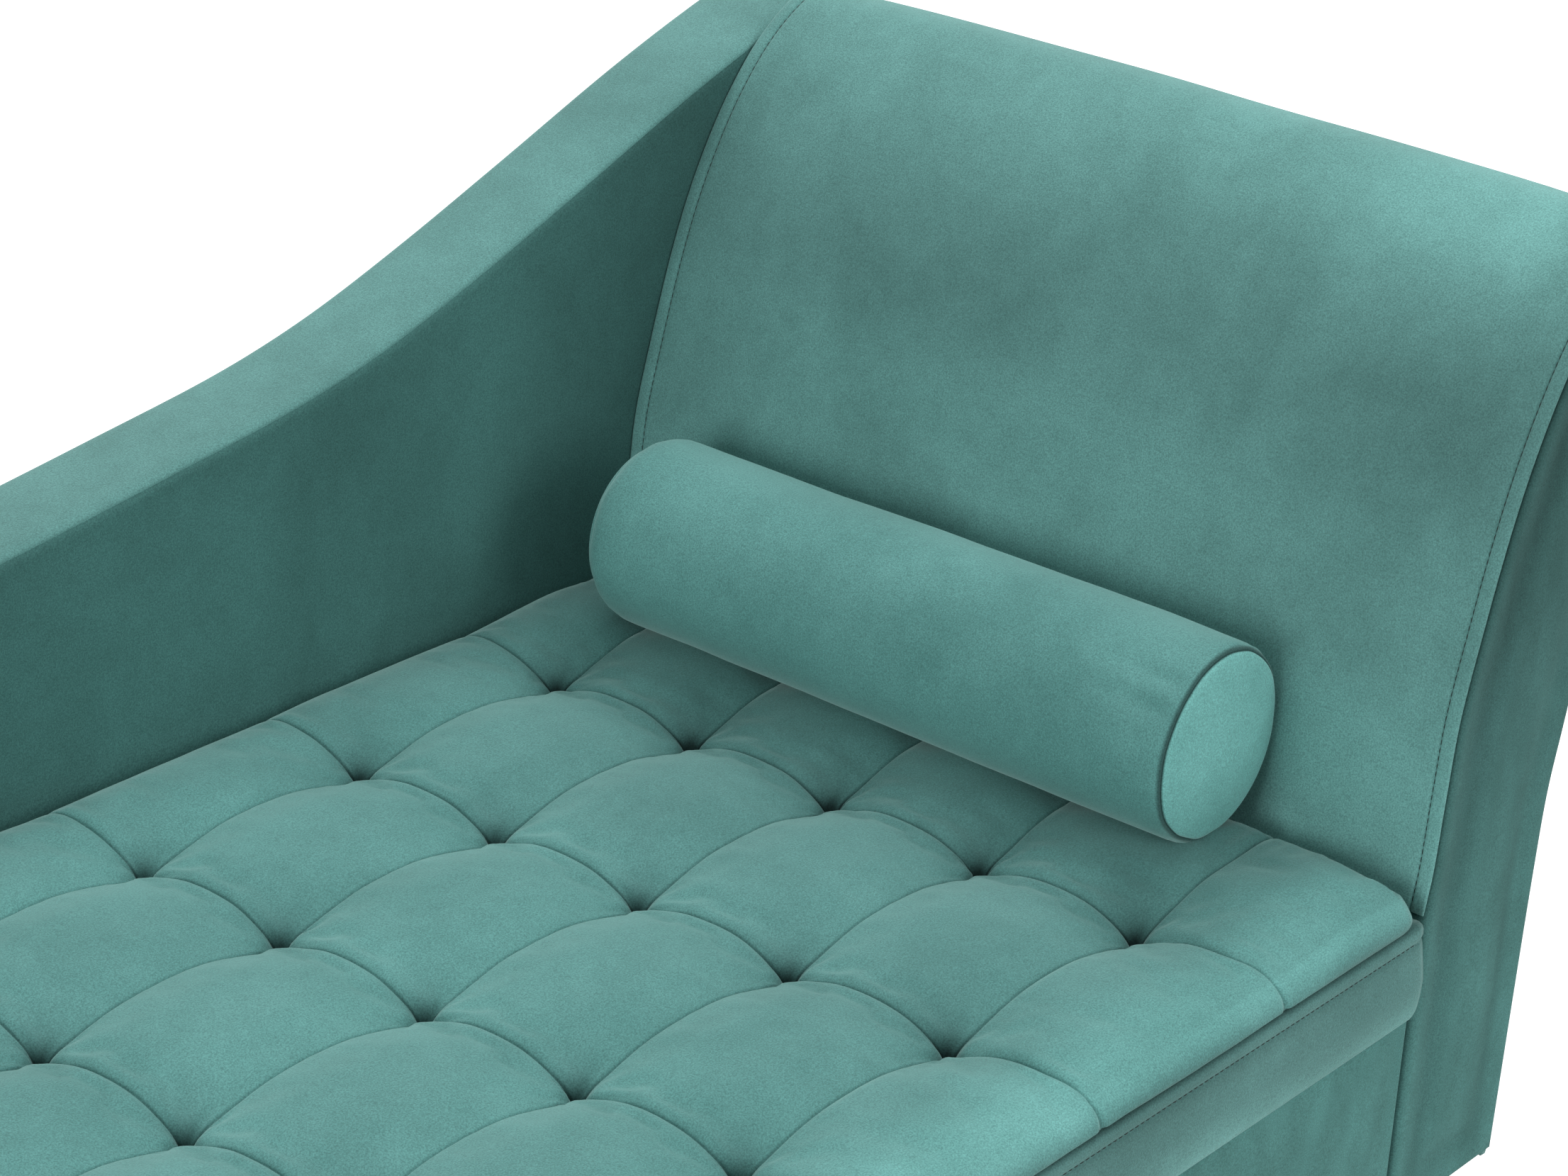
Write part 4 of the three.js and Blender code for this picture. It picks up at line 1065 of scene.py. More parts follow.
    def height(self, x: np.ndarray, y: np.ndarray, coarse: bool = False) -> tuple[np.ndarray, np.ndarray]:
        """The top's height at places on the seat, and how deep in a seam's groove they are.

        Args:
            x: places along the seat.
            y: places across it.
            coarse: leaves out the seams' grooves, the folds and the outer roll.

        Returns:
            The heights, and for each place a value from 0 to 1 in the groove's middle.
        """
        from_x, from_y = self.seams_x.away(x), self.seams_y.away(y)
        tx = np.clip(from_x / (self.pitch_x / 2), 0, 1)
        ty = np.clip(from_y / (self.pitch_y / 2), 0, 1)
        free_x, free_y = 1 - self.recovery(tx), 1 - self.recovery(ty)
        off_x, off_y = (1 - tx) ** self.dome_power, (1 - ty) ** self.dome_power
        middle = (1 - off_x) * (1 - off_y)
        edge = np.minimum.reduce([x - self.low.x, self.high.x - x, y - self.low.y, self.high.y - y])
        calm = self.calm_share + (1 - self.calm_share) * ramp(edge, self.calm_start, self.calm_length)
        seam = (self.seam_depth_x * off_y + self.seam_depth_y * off_x) / (off_x + off_y + 1e-6) * calm
        by_tuft = self.seam_by_tuft_share
        seam = seam * (by_tuft + (1 - by_tuft) * np.maximum(1 - free_x, 1 - free_y))
        z = self.high.z + self.fullness + self.rear_fullness * ramp(x, self.seams_x.last, self.rear_length)
        z = z - self.pull * free_x * free_y - seam * (1 - middle)
        if coarse:
            return z, z
        cut = np.maximum(bell(from_x, self.groove_width), bell(from_y, self.groove_width))
        z -= self.pit_depth * fading(np.hypot(from_x, from_y), self.pit_width)
        z -= self.groove * cut
        z += self.tucks(x, y)
        (lump, lump_size), (dimple, dimple_size) = self.lumps
        places = np.stack([x, y], 1)
        z += lump * middle * value_noise(places, lump_size, self.seed)
        z += dimple * value_noise(places, dimple_size, self.seed + 1)
        return z - self.roll(edge), cut

    def settle(self, xs: np.ndarray, ys: np.ndarray) -> np.ndarray:
        """How far the cloth run moves the top at the crossings of fine lines.

        Args:
            xs: the lines' places along the seat.
            ys: the lines' places across it.

        Returns:
            A move in x, y and z for each crossing.
        """
        sheet_x = self.seams_x.even(xs[0], xs[-1], self.sheet_step)
        sheet_y = self.seams_y.even(ys[0], ys[-1], self.sheet_step)
        gx, gy = (g.ravel() for g in np.meshgrid(sheet_x, sheet_y, indexing="ij"))
        faces = grid_faces(np.arange(len(gx)).reshape(len(sheet_x), len(sheet_y)))
        on_seam, on_edge = 0.01 * MM, 0.001 * MM
        held = (self.seams_x.away(gx) < on_seam) | (self.seams_y.away(gy) < on_seam)
        held |= (gx < xs[0] + on_edge) | (gx > xs[-1] - on_edge)
        held |= (gy < ys[0] + on_edge) | (gy > ys[-1] - on_edge)
        sheet = np.stack([gx, gy, self.height(gx, gy, coarse=True)[0]], 1)
        move = Settling().run("tufted_seat", sheet, faces, held).reshape(len(sheet_x), len(sheet_y), 3)
        return np.einsum("ai,ijk,bj->abk", spread_weights(sheet_x, xs), move, spread_weights(sheet_y, ys))

    def recovery(self, share: np.ndarray) -> np.ndarray:
        """How much of its height the cover has regained at a share of the way from a tuft to mid-seam."""
        slope, bend = self.pull_slope, self.pull_bend
        risen = slope * share / (1 + (slope * share) ** bend) ** (1 / bend)
        return risen * (1 + slope**bend) ** (1 / bend) / slope

    def roll(self, edge: np.ndarray) -> np.ndarray:
        """How far the top has rolled down at a distance from the outer edge."""
        t = np.clip(1 - edge / self.edge_radius, 0, 1)
        return self.edge_height * (1 - np.sqrt(1 - t**2))

    def tucks(self, x: np.ndarray, y: np.ndarray) -> np.ndarray:
        """Small folds that run out of each tuft beside its seams.

        Args:
            x: places along the seat.
            y: places across it.

        Returns:
            How far the folds move each place up or down.
        """
        total = np.zeros(len(x))
        rng = np.random.default_rng(self.seed)
        tufts = [
            (self.seams_x.first + i * self.pitch_x, self.seams_y.first + j * self.pitch_y)
            for i in range(self.rows)
            for j in range(self.columns)
        ]
        for px, py in tufts:
            dx, dy = x - px, y - py
            near = np.hypot(dx, dy) < self.tuck_area * self.tuck_length
            along, turn = np.hypot(dx[near], dy[near]), np.arctan2(dy[near], dx[near])
            folds = np.zeros(len(along))
            for quarter in range(4):
                for side in (-1, 1):
                    angle = quarter * QUARTER_TURN + side * rng.uniform(*self.tuck_angles)
                    reach = self.tuck_length * rng.uniform(*self.tuck_lengths)
                    depth = self.tuck_depth * rng.uniform(*self.tuck_depths)
                    off = np.abs((turn - angle + math.pi) % FULL_TURN - math.pi) * along
                    width = self.tuck_width + self.tuck_flare * along
                    shown = ease(along / self.tuck_start) * (1 - ease(along / reach))
                    shoulder = self.tuck_shoulder_share * bell(off, self.tuck_shoulder * width)
                    folds -= depth * shown * (bell(off, width) - shoulder)
            total[near] += folds
        return total

    def rim(self, edge: np.ndarray, out: np.ndarray, along: np.ndarray) -> list[np.ndarray]:
        """Rings that roll from the top's outer row down to the crease, in under it and down to the board.

        Args:
            edge: the outer row's points.
            out: its outward directions in plan.
            along: each point's distance to the nearest seam that runs over the edge.

        Returns:
            The rings, from the top down.
        """
        start = math.asin(1 - self.edge_grid / self.edge_radius)
        pull = bell(along, self.rim_notch_width)
        crease = self.crease(edge, out, along)
        top = edge[:, 2] + self.edge_height * (1 - math.cos(start))
        side = top - self.edge_height
        rings = []
        for turn in np.linspace(start, QUARTER_TURN, self.edge_turns)[1:]:
            ring = edge.copy()
            reach = self.edge_radius * (math.sin(turn) - math.sin(start))
            ring[:, :2] += out * (reach - self.rim_notch * pull * math.sin(turn))[:, None]
            ring[:, 2] = top - self.edge_height * (1 - math.cos(turn))
            rings.append(ring)
        widest = rings[-1]
        for turn in self.side_turns:
            ring = widest.copy()
            ring[:, :2] -= out * (self.side_tuck * (1 - math.cos(turn)))
            ring[:, 2] = side + (crease - side) * math.sin(turn)
            rings.append(ring)
        inner = rings[-1].copy()
        inner[:, :2] -= out * self.rim_inset
        inner[:, 2] += self.rim_lift
        base = inner.copy()
        base[:, 2] = high("lid_board").z + self.board_gap
        return [*rings, inner, base]

    def crease(self, edge: np.ndarray, out: np.ndarray, along: np.ndarray) -> np.ndarray:
        """How high the rim ends: on the band, down on the board where there is none, or clear of a hinge.

        Args:
            edge: the outer row's points.
            out: its outward directions in plan.
            along: each point's distance to the nearest seam that runs over the edge.

        Returns:
            One height for each point.
        """
        wave = self.crease_wave * np.cos(np.clip(along / self.crease_wave_length, 0, 1) * math.pi)
        on_band = low("lid_band").z + self.crease_rise + wave
        on_board = high("lid_board").z + 2 * self.board_gap
        turned_x = ramp(edge[:, 0] - self.low.x, self.crease_turn_start, self.crease_turn_length)
        turned_y = ramp(edge[:, 1] - self.low.y, self.crease_turn_start, self.crease_turn_length)
        no_band = np.maximum((out[:, 1] > 0) * turned_x, (out[:, 0] > 0) * turned_y)
        height = on_band + (on_board - on_band) * no_band
        for label in ("open", "arm"):
            a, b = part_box("hinge_fixed_leaf_" + label)
            over = (edge[:, 1] > a.y - self.hinge_margin) & (edge[:, 1] < b.y + self.hinge_margin)
            height[(out[:, 0] > 0) & over] = b.z + self.hinge_gap
        return height

    def build(self) -> bpy.types.Object:
        """The cushion as one closed piece, riding on the lid.

        Returns:
            The cushion's cover.
        """
        x0, x1 = self.low.x + self.edge_grid, self.high.x - self.edge_grid
        y0, y1 = self.low.y + self.edge_grid, self.high.y - self.edge_grid
        xs = self.seams_x.crowded(x0, x1, self.steps_x)
        ys = self.seams_y.crowded(y0, y1, self.steps_y)
        gx, gy = (g.ravel() for g in np.meshgrid(xs, ys, indexing="ij"))
        z, cut = self.height(gx, gy)
        number = np.arange(len(gx)).reshape(len(xs), len(ys))
        faces = grid_faces(number).tolist()
        border = [*number[:, 0], *number[-1, 1:], *number[-2::-1, -1], *number[0, -2:0:-1]]
        top = np.stack([gx, gy, z], 1) + self.settle(xs, ys).reshape(-1, 3)
        edge = top[border]
        out = np.zeros((len(border), 2))
        out[edge[:, 1] <= y0 + TINY, 1] = -1
        out[edge[:, 0] >= x1 - TINY, 0] = 1
        out[edge[:, 1] >= y1 - TINY, 1] = 1
        out[edge[:, 0] <= x0 + TINY, 0] = -1
        along = np.where(out[:, 1] != 0, self.seams_x.away(edge[:, 0]), self.seams_y.away(edge[:, 1]))
        rings = self.rim(edge, out, along)
        # Painted shade where the seams run over the edge; the rim's painted highlight and shade on the open
        # side and foot, only its painted shade by the backrest and arm.
        edge_seam_shade = self.pile.rim_seam * bell(along, self.groove_width)
        bright = (out.min(axis=1) < 0).astype(float)
        painted_light_rows = [self.painted_light_and_tone(gx, gy, cut)]
        painted_light_rows += [edge_seam_shade + np.where(bright, shade, min(shade, 0.0)) for shade in self.pile.rim]
        m, first, above = len(border), len(gx), border
        for r in range(len(rings)):
            ring = list(range(first + r * m, first + (r + 1) * m))
            faces += [[above[k], ring[k], ring[(k + 1) % m], above[(k + 1) % m]] for k in range(m)]
            above = ring
        faces.append(above[::-1])
        vertices = self.round_corners(np.vstack([top, *rings]))
        piece = make_object("tufted_seat", vertices, faces, Velvet(Nap.OPEN).build(), np.concatenate(painted_light_rows))
        return upholster(piece, "seat_cushion", "lid")

    def round_corners(self, places: np.ndarray) -> np.ndarray:
        """Rounds the cushion's corners in plan, and lets their tops droop a little.

        Args:
            places: the cushion's points.

        Returns:
            The points with those near a corner moved.
        """
        result = places.copy()
        r = self.corner_radius
        for sx, ex in ((1, self.high.x), (-1, self.low.x)):
            for sy, ey in ((-1, self.low.y), (1, self.high.y)):
                a = 1 - sx * (ex - places[:, 0]) / r
                b = 1 - sy * (ey - places[:, 1]) / r
                here = (a > 0) & (b > 0)
                a1, b1 = np.clip(a[here], 0, 1.05), np.clip(b[here], 0, 1.05)
                result[here, 0] = ex - sx * r * (1 - a1 * np.sqrt(1 - b1**2 / 2))
                result[here, 1] = ey - sy * r * (1 - b1 * np.sqrt(1 - a1**2 / 2))
                near = np.hypot(places[:, 0] - ex, places[:, 1] - ey) / (self.corner_droop_reach * r)
                top = ramp(places[:, 2], self.high.z - self.droop_depth, self.droop_length)
                result[:, 2] -= self.corner_droop * (1 - ease(near)) * top
        return result


@dataclass
class LidBand:
    """The band round the lid: a flap stitched down under the cushion's crease, then a soft rounded face."""

    corner_radius: float = 9 * MM
    corner_steps: int = 8
    bulge: float = 1.6 * MM
    bulge_place: float = 24 * MM
    bulge_width: float = 14 * MM
    puff: float = 0.8 * MM
    puff_size: float = 60 * MM
    end_draw: float = 1.8 * MM
    end_length: float = 5 * MM
    face_start: float = 3 * MM
    # Out from the lid's frame and up from its underside, from the crease down and back up inside.
    section: tuple = (
        (-4, 57.6), (2.5, 58.2), (5.9, 58.1), (8.0, 57.0), (9.0, 55), (9.2, 52), (8.6, 49.9), (8.1, 49.1),
        (8.7, 48.2), (9.3, 45.5), (9.9, 40), (10.3, 33), (10.7, 25), (10.8, 15), (10.7, 8), (10.1, 4),
        (8.7, 1.4), (5.6, 0.2), (0.2, 0), (0.2, 20), (0.2, 40), (0.2, 55),
    )
    stitch_point: int = 7
    # Millimetres up from the underside, and how much lighter or darker the colour is painted there: a painted
    # highlight on the lower rounded edge, painted shade at the stitch and in the crease.
    painted_light_rows: tuple = (
        (0, 0.3), (3, 0.42), (8, 0.3), (20, 0), (40, -0.1), (48, -0.25), (50, -0.15), (56, -0.1), (58, -0.5),
    )
    step: float = 6 * MM
    seed: int = 5

    def path(self) -> tuple[np.ndarray, np.ndarray]:
        """The way along the lid's frame, from the backrest round to the arm.

        Returns:
            Places in plan, and the outward direction at each.
        """
        lid_low, lid_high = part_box("lid_board")
        r = self.corner_radius
        count = round((lid_high.x - lid_low.x - r) / self.step)
        side = [(lid_high.x + (lid_low.x + r - lid_high.x) * k / count, lid_low.y) for k in range(count + 1)]
        places, outs = [*side], [(0.0, -1.0)] * len(side)
        for k in range(1, self.corner_steps):
            turn = QUARTER_TURN * k / self.corner_steps
            out = (-math.sin(turn), -math.cos(turn))
            places.append((lid_low.x + r + r * out[0], lid_low.y + r + r * out[1]))
            outs.append(out)
        count = round((lid_high.y - lid_low.y - r) / self.step)
        for k in range(count + 1):
            places.append((lid_low.x, lid_low.y + r + (lid_high.y - lid_low.y - r) * k / count))
            outs.append((-1.0, 0.0))
        return np.array(places), np.array(outs)

    def build(self) -> bpy.types.Object:
        """The band and its topstitch, riding on the lid.

        Returns:
            The band's cover.
        """
        places, outs = self.path()
        base = low("lid_band").z
        across, up = np.array(self.section).T * MM
        run = np.concatenate([[0], np.cumsum(np.linalg.norm(np.diff(places, axis=0), axis=1))])
        swell = bell(up, self.bulge_width, self.bulge_place)
        sections = []
        for place, out, along in zip(places, outs, run):
            puff = line_noise(along, self.puff_size, self.seed) * self.puff
            drawn = self.end_draw * (1 - ease(min(along, run[-1] - along) / self.end_length))
            reach = across + np.where(across > self.face_start, swell * (self.bulge + puff), 0)
            reach = np.where(across > self.face_start, reach - drawn, reach)
            sections.append(np.stack([place[0] + out[0] * reach, place[1] + out[1] * reach, base + up], 1))
        sections = np.array(sections)
        vertices, faces = swept(sections)
        heights, shades = np.array(self.painted_light_rows).T
        painted_light_and_tone = np.tile(np.interp(up, heights * MM, shades), len(sections))
        piece = make_object("lid_band_cover", vertices, faces, Velvet(Nap.LEVEL).build(), painted_light_and_tone)
        upholster(piece, "lid_band", "lid")
        StitchRun().sew("lid_band_topstitch", [sections[2:-2, self.stitch_point]], "lid")
        return piece


@dataclass(frozen=True)
class FrontPaintedLight:
    """Painted light and shade on the backrest's front, as shares of its colour, and where.

    Painted shade along the topstitch, in the edge seams and under the roll, a painted highlight on the roll
    that fades towards the arm, lighter low down, and random clouds of tone.
    """

    stitches: float = -0.45
    seam: float = -0.4
    seam_lift: float = -1.5 * MM
    clouds: float = 0.06
    cloud_size: float = 130 * MM
    cloud_seed: int = 41
    level: float = 0.14
    below: float = 0.22
    below_start: float = 400 * MM
    below_length: float = 130 * MM
    under_roll: float = -0.26
    under_roll_place: float = 640 * MM
    under_roll_width: float = 55 * MM
    on_roll: float = 0.3
    on_roll_start: float = 690 * MM
    on_roll_length: float = 50 * MM
    by_arm: float = -0.26
    by_arm_start: float = -250 * MM
    by_arm_length: float = 350 * MM


@dataclass
class Backrest:
    """The backrest's padded front with its rolled top, its side panel and its rear."""

    outline: Outline
    crown: float = 4 * MM
    edge_crown: float = 1 * MM
    crown_reach: float = 70 * MM
    step: float = 7 * MM
    end_draw: float = 3 * MM
    end_length: float = 9 * MM
    # Millimetres in from the open edge and out from the outline: the wrapped edge, its seam, the topstitch.
    edge_section: tuple = (
        (3.8, -12), (3.8, -6.0), (3.1, -4.2), (2.0, -2.8), (1.1, -1.7), (0.7, -0.9), (1.0, -0.2), (2.2, 0.35),
        (4.5, 0.6), (7, 0.5), (8.2, 0.1), (8.9, -0.6), (9.4, -1.1), (9.9, -0.6), (10.6, 0), (12.2, 0.3),
        (15, 0.4), (20, 0.5), (27, 0.8), (36, 1),
    )
    stitch_point: int = 12
    rear_section: tuple = (
        (0.2, -11), (0.0, -3.5), (0.8, -1.6), (2.5, -0.5), (5, 0), (9, 0.2), (16, 0.4), (30, 0.6),
    )
    hard_share: float = 0.15
    soft_start: float = 500 * MM
    soft_length: float = 90 * MM
    puff: float = 0.5 * MM
    puff_size: float = 85 * MM
    puff_lift: float = 0.5 * MM
    rear_crown: float = 0.9 * MM
    rear_inset: float = 1 * MM
    side_gap: float = 0.6 * MM
    # Painted shade in a channel by the front edge and in its seam; painted lighter at the foot and darker
    # higher up.
    side_channel_shade: float = -0.25
    side_channel_shade_place: float = 26 * MM
    side_channel_shade_width: float = 12 * MM
    side_seam: float = -0.6
    side_seam_width: float = 4 * MM
    side_foot: float = 0.32
    side_above: float = -0.6
    side_above_start: float = 250 * MM
    side_above_length: float = 400 * MM
    seed: int = 9
    pile: FrontPaintedLight = FrontPaintedLight()

    def __post_init__(self) -> None:
        """Takes the side faces from the frame."""
        self.open_y = low("backrest_side_panel").y
        self.arm_y = high("backrest_front_pad").y
        self.seam = FRONT_SEAM_SHARE * self.outline.length

    def across(self) -> tuple[np.ndarray, np.ndarray]:
        """The front's section.

        Returns:
            Distances from the open edge across the front, and how far the surface stands out there.
        """
        width = self.arm_y - self.open_y
        near, lift = np.array(self.edge_section).T * MM
        middle = np.linspace(near[-1], width - near[-1], 26)[1:-1]
        inset = np.minimum(middle, width - middle)
        risen = 1 - fading(inset - near[-1], self.crown_reach)
        crowned = self.edge_crown + (self.crown - self.edge_crown) * risen
        return np.concatenate([near, middle, width - near[::-1]]), np.concatenate([lift, crowned, lift[::-1]])

    def front(self) -> bpy.types.Object:
        """The front pad, from seat level up and over the roll.

        Returns:
            The pad's cover.
        """
        places, lift = self.across()
        along = np.linspace(0, self.seam, round(self.seam / self.step) + 1)
        points, normals = self.outline.at(along), self.outline.outward(along)
        soft = ramp(points[:, 1], self.soft_start, self.soft_length)
        puffed, outside = lift > self.puff_lift, lift > -10 * MM
        sections = []
        for (x, z), (nx, nz), s, share in zip(points, normals, along, soft):
            off = np.where(lift > 0, lift * (self.hard_share + (1 - self.hard_share) * share), lift)
            spots = np.stack([np.full(len(places), s), places], 1)
            off = off + np.where(puffed, self.puff * share * value_noise(spots, self.puff_size, self.seed), 0)
            off = off - self.end_draw * (1 - ease((self.seam - s) / self.end_length)) * outside
            sections.append(np.stack([x + nx * off, self.open_y + places, z + nz * off], 1))
        sections = np.array(sections)
        vertices, faces = swept(sections)
        painted_light_and_tone = self.front_painted_light(vertices, np.tile(lift, len(along)), len(lift))
        piece = make_object("backrest_front", vertices, faces, Velvet(Nap.LEVEL).build(), painted_light_and_tone)
        upholster(piece, "backrest_front_pad")
        rows = [sections[1:-1, self.stitch_point], sections[1:-1, -1 - self.stitch_point]]
        StitchRun().sew("backrest_topstitch", rows, "frame")
        return piece

    def front_painted_light(self, vertices: np.ndarray, lift: np.ndarray, per_section: int) -> np.ndarray:
        """The front's painted light: lighter below, a painted highlight on the roll, painted shade under it and
        in its seams.

        Args:
            vertices: the front's points.
            lift: how far each point stands out.
            per_section: how many points one section has.

        Returns:
            The painted light and tone.
        """
        pile, up = self.pile, vertices[:, 2]
        half = (per_section - 1) / 2
        from_middle = np.abs(np.arange(len(vertices)) % per_section - half)
        in_seam = np.where(lift < pile.seam_lift, pile.seam, 0)
        painted_light_and_tone = np.where(from_middle == half - self.stitch_point, pile.stitches, in_seam)
        painted_light_and_tone += pile.clouds * value_noise(vertices[:, 1:], pile.cloud_size, pile.cloud_seed)
        by_arm = ramp(vertices[:, 1], pile.by_arm_start, pile.by_arm_length)
        painted_light_and_tone += (pile.on_roll + pile.by_arm * by_arm) * ramp(up, pile.on_roll_start, pile.on_roll_length)
        painted_light_and_tone += pile.level + pile.below * (1 - ramp(up, pile.below_start, pile.below_length))
        return painted_light_and_tone + pile.under_roll * bell(up, pile.under_roll_width, pile.under_roll_place)

    def side(self) -> bpy.types.Object:
        """The side panel on the open side.

        Returns:
            The panel's cover.
        """
        front = self.outline.at(np.linspace(0, self.outline.length, 220))
        foot_x = low("backrest_side_panel").x
        foot = np.array([[foot_x, BASE_Z], [foot_x, SEAT_LEVEL_Z - 2 * MM]])
        line = resample(np.vstack([foot, front]), 6 * MM)
        panel = Panel(
            bulge=2.5 * MM, edge_drop=3.2 * MM, edge_reach=5 * MM, ripple=0.8 * MM, depth=13 * MM,
            spacing=8 * MM, inset=2.2 * MM, hollow=2.2 * MM,
        )
        flat, out, faces = panel.build(line)
        vertices = np.stack([flat[:, 0], self.open_y - out - self.side_gap, flat[:, 1]], 1)
        from_edge = Panel.distance(flat, line)
        # Painted shade in the channel and the edge seam, and painted light and shade by height.
        channel_shade = bell(from_edge, self.side_channel_shade_width, self.side_channel_shade_place)
        painted_light_and_tone = self.side_channel_shade * channel_shade * (flat[:, 0] < flat[:, 0].mean())
        painted_light_and_tone += self.side_seam * bell(from_edge, self.side_seam_width)
        above = ramp(flat[:, 1], self.side_above_start, self.side_above_length)
        painted_light_and_tone += self.side_foot + self.side_above * above
        piece = make_object("backrest_side", vertices, faces, Velvet(Nap.CLOSED, streaks=True).build(), painted_light_and_tone)
        return upholster(piece, "backrest_side_panel")

    def rear(self) -> bpy.types.Object:
        """The rear pad, from the roll's seam down to the box's floor.

        Returns:
            The pad's cover.
        """
        width = self.arm_y - self.open_y - 2 * self.rear_inset
        near, lift = np.array(self.rear_section).T * MM
        middle = np.linspace(near[-1], width - near[-1], 20)[1:-1]
        places = np.concatenate([near, middle, width - near[::-1]])
        offsets = np.concatenate([lift, np.full(len(middle), self.rear_crown), lift[::-1]])
        outside = offsets > -8 * MM
        start = self.seam + 0.5 * MM
        along = np.linspace(start, self.outline.length, round((self.outline.length - start) / self.step) + 1)
        points, normals = self.outline.at(along), self.outline.outward(along)
        sections = []
        for (x, z), (nx, nz), s in zip(points, normals, along):
            end = min(s - start, self.outline.length - s)
            off = offsets - self.end_draw * (1 - ease(end / self.end_length)) * outside
            y = self.open_y + self.rear_inset + places
            sections.append(np.stack([x + nx * off, y, z + nz * off], 1))
        vertices, faces = swept(np.array(sections))
        vertices[:, 2] = np.maximum(vertices[:, 2], BASE_Z)
        piece = make_object("backrest_rear", vertices, faces, Velvet(Nap.LEVEL).build())
        return upholster(piece, "backrest_rear_pad")

    def build(self) -> None:
        """All three pieces."""
        self.front()
        self.side()
        self.rear()


@dataclass
class Arm:
    """The sweeping arm: a strip over its top and ends, and a stuffed face on each side."""

    back: Outline
    foot_height: float = 337 * MM
    corner: float = 45 * MM
    corner_steps: int = 8
    upright_steps: int = 20
    seat_clearance: float = 0.3 * MM
    seat_bulge_top: float = 440 * MM
    seat_bulge_length: float = 25 * MM
    flush: float = 0.8 * MM
    step: float = 7 * MM
    # Millimetres in from the strip's edge, and out from the arm's outline.
    strip_section: tuple = (
        (5, -16), (2.0, -9), (1.2, -5), (1.2, -3.4), (2.0, -2.2), (3.6, -1.2), (6, -0.5), (10, 0), (16, 0.4),
        (24, 0.8),
    )
    strip_wave: float = 0.35 * MM
    strip_wave_length: float = 70 * MM
    # Painted light: the strip a little lighter, painted shade in the faces' edge seams, and painted shade on
    # the inner face towards the backrest.
    strip_painted_light: float = 0.09
    edge_seam_shade: float = -0.3
    edge_lay_width: float = 3.4 * MM
    inner_painted_light: float = 0.04
    by_back: float = -0.26
    by_back_start: float = 450 * MM
    by_back_length: float = 170 * MM
    seed: int = 21

    def __post_init__(self) -> None:
        """Builds the arm's outline from the frame."""
        self.inner_y, self.outer_y = low("arm_top_pad").y, high("arm_top_pad").y
        foot_top = BASE_Z + self.foot_height
        corner_z = foot_top - self.corner
        seat, rise = BACK_FACE_X - FOOT_X, ARM_PEAK_Z - foot_top
        sweep = [
            (BACK_FACE_X + share * (seat if share < 0 else BACK_REACH), foot_top + up * rise)
            for share, up in ARM_TOP_SHARES
        ]
        turns = [QUARTER_TURN * k / self.corner_steps for k in range(self.corner_steps + 1)]
        corner = [
            (FOOT_X + self.corner * (1 - math.cos(t)), corner_z + self.corner * math.sin(t)) for t in turns
        ]
        top_line = Outline([corner[-1], *sweep])
        shares = [k / self.upright_steps for k in range(self.upright_steps)]
        upright = [(FOOT_X, BASE_Z + (corner_z - BASE_Z) * share) for share in shares]
        top = top_line.at(np.linspace(0, top_line.length, 200))[1:]
        rear = self.back.at(np.linspace(ARM_REAR_SHARE * self.back.length, self.back.length, 90))[1:]
        self.line = np.vstack([upright, corner, top, rear])

    def face(self, name: str, node: str, side: int, nap: Nap) -> bpy.types.Object:
        """One side of the arm.

        Args:
            name: the piece's name.
            node: the frame's solid that it stands for.
            side: -1 for the inner side, 1 for the outer one.
            nap: which of the velvet's lit or shaded copies it takes.

        Returns:
            The face's cover.
        """
        line = resample(self.line, self.step)
        panel = Panel(
            bulge=2.2 * MM, edge_drop=4 * MM, edge_reach=6 * MM, ripple=0.35 * MM, depth=18 * MM,
            spacing=12 * MM, inset=2.5 * MM, ripple_width=120 * MM, ripple_height=90 * MM,
        )
        flat, out, faces = panel.build(line)
        # Painted shade in the edge seam; on the inner face also a slight lift and painted shade towards the
        # backrest.
        painted_light_and_tone = self.edge_seam_shade * bell(Panel.distance(flat, line), self.edge_lay_width)
        y = self.outer_y
        if side < 0:
            y = self.inner_y
            near_seat = ease((self.seat_bulge_top - flat[:, 1]) / self.seat_bulge_length)
            out = np.where(out > -panel.depth, out - near_seat * np.maximum(out + self.flush, 0), out)
            out = np.minimum(out, self.seat_clearance)
            painted_light_and_tone += self.inner_painted_light + self.by_back * ramp(flat[:, 0], self.by_back_start, self.by_back_length)
        vertices = np.stack([flat[:, 0], y + side * out, flat[:, 1]], 1)
        piece = make_object(name, vertices, faces, Velvet(nap).build(), painted_light_and_tone)
        return upholster(piece, node)

    def strip(self) -> bpy.types.Object:
        """The strip that covers the arm's foot end, top and rear.

        Returns:
            The strip's cover.
        """
        line = Outline([tuple(p) for p in self.line[::3]], per_span=6)
        along = np.linspace(0, line.length, round(line.length / self.step) + 1)
        points, normals = line.at(along), line.outward(along)
        places, lift = np.array(self.strip_section).T * MM
        places = np.concatenate([places, self.outer_y - self.inner_y - places[::-1]])
        lift = np.concatenate([lift, lift[::-1]])
        sections = []
        for (x, z), (nx, nz), s in zip(points, normals, along):
            wave = self.strip_wave * line_noise(s, self.strip_wave_length, self.seed)
            off = lift + np.where(lift > 0, wave, 0)
            sections.append(np.stack([x + nx * off, self.inner_y + places, z + nz * off], 1))
        vertices, faces = swept(np.array(sections))
        vertices[:, 2] = np.maximum(vertices[:, 2], BASE_Z)
        painted_light_and_tone = np.full(len(vertices), self.strip_painted_light)
        piece = make_object("arm_strip", vertices, faces, Velvet(Nap.LEVEL).build(), painted_light_and_tone)
        return upholster(piece, "arm_top_pad")

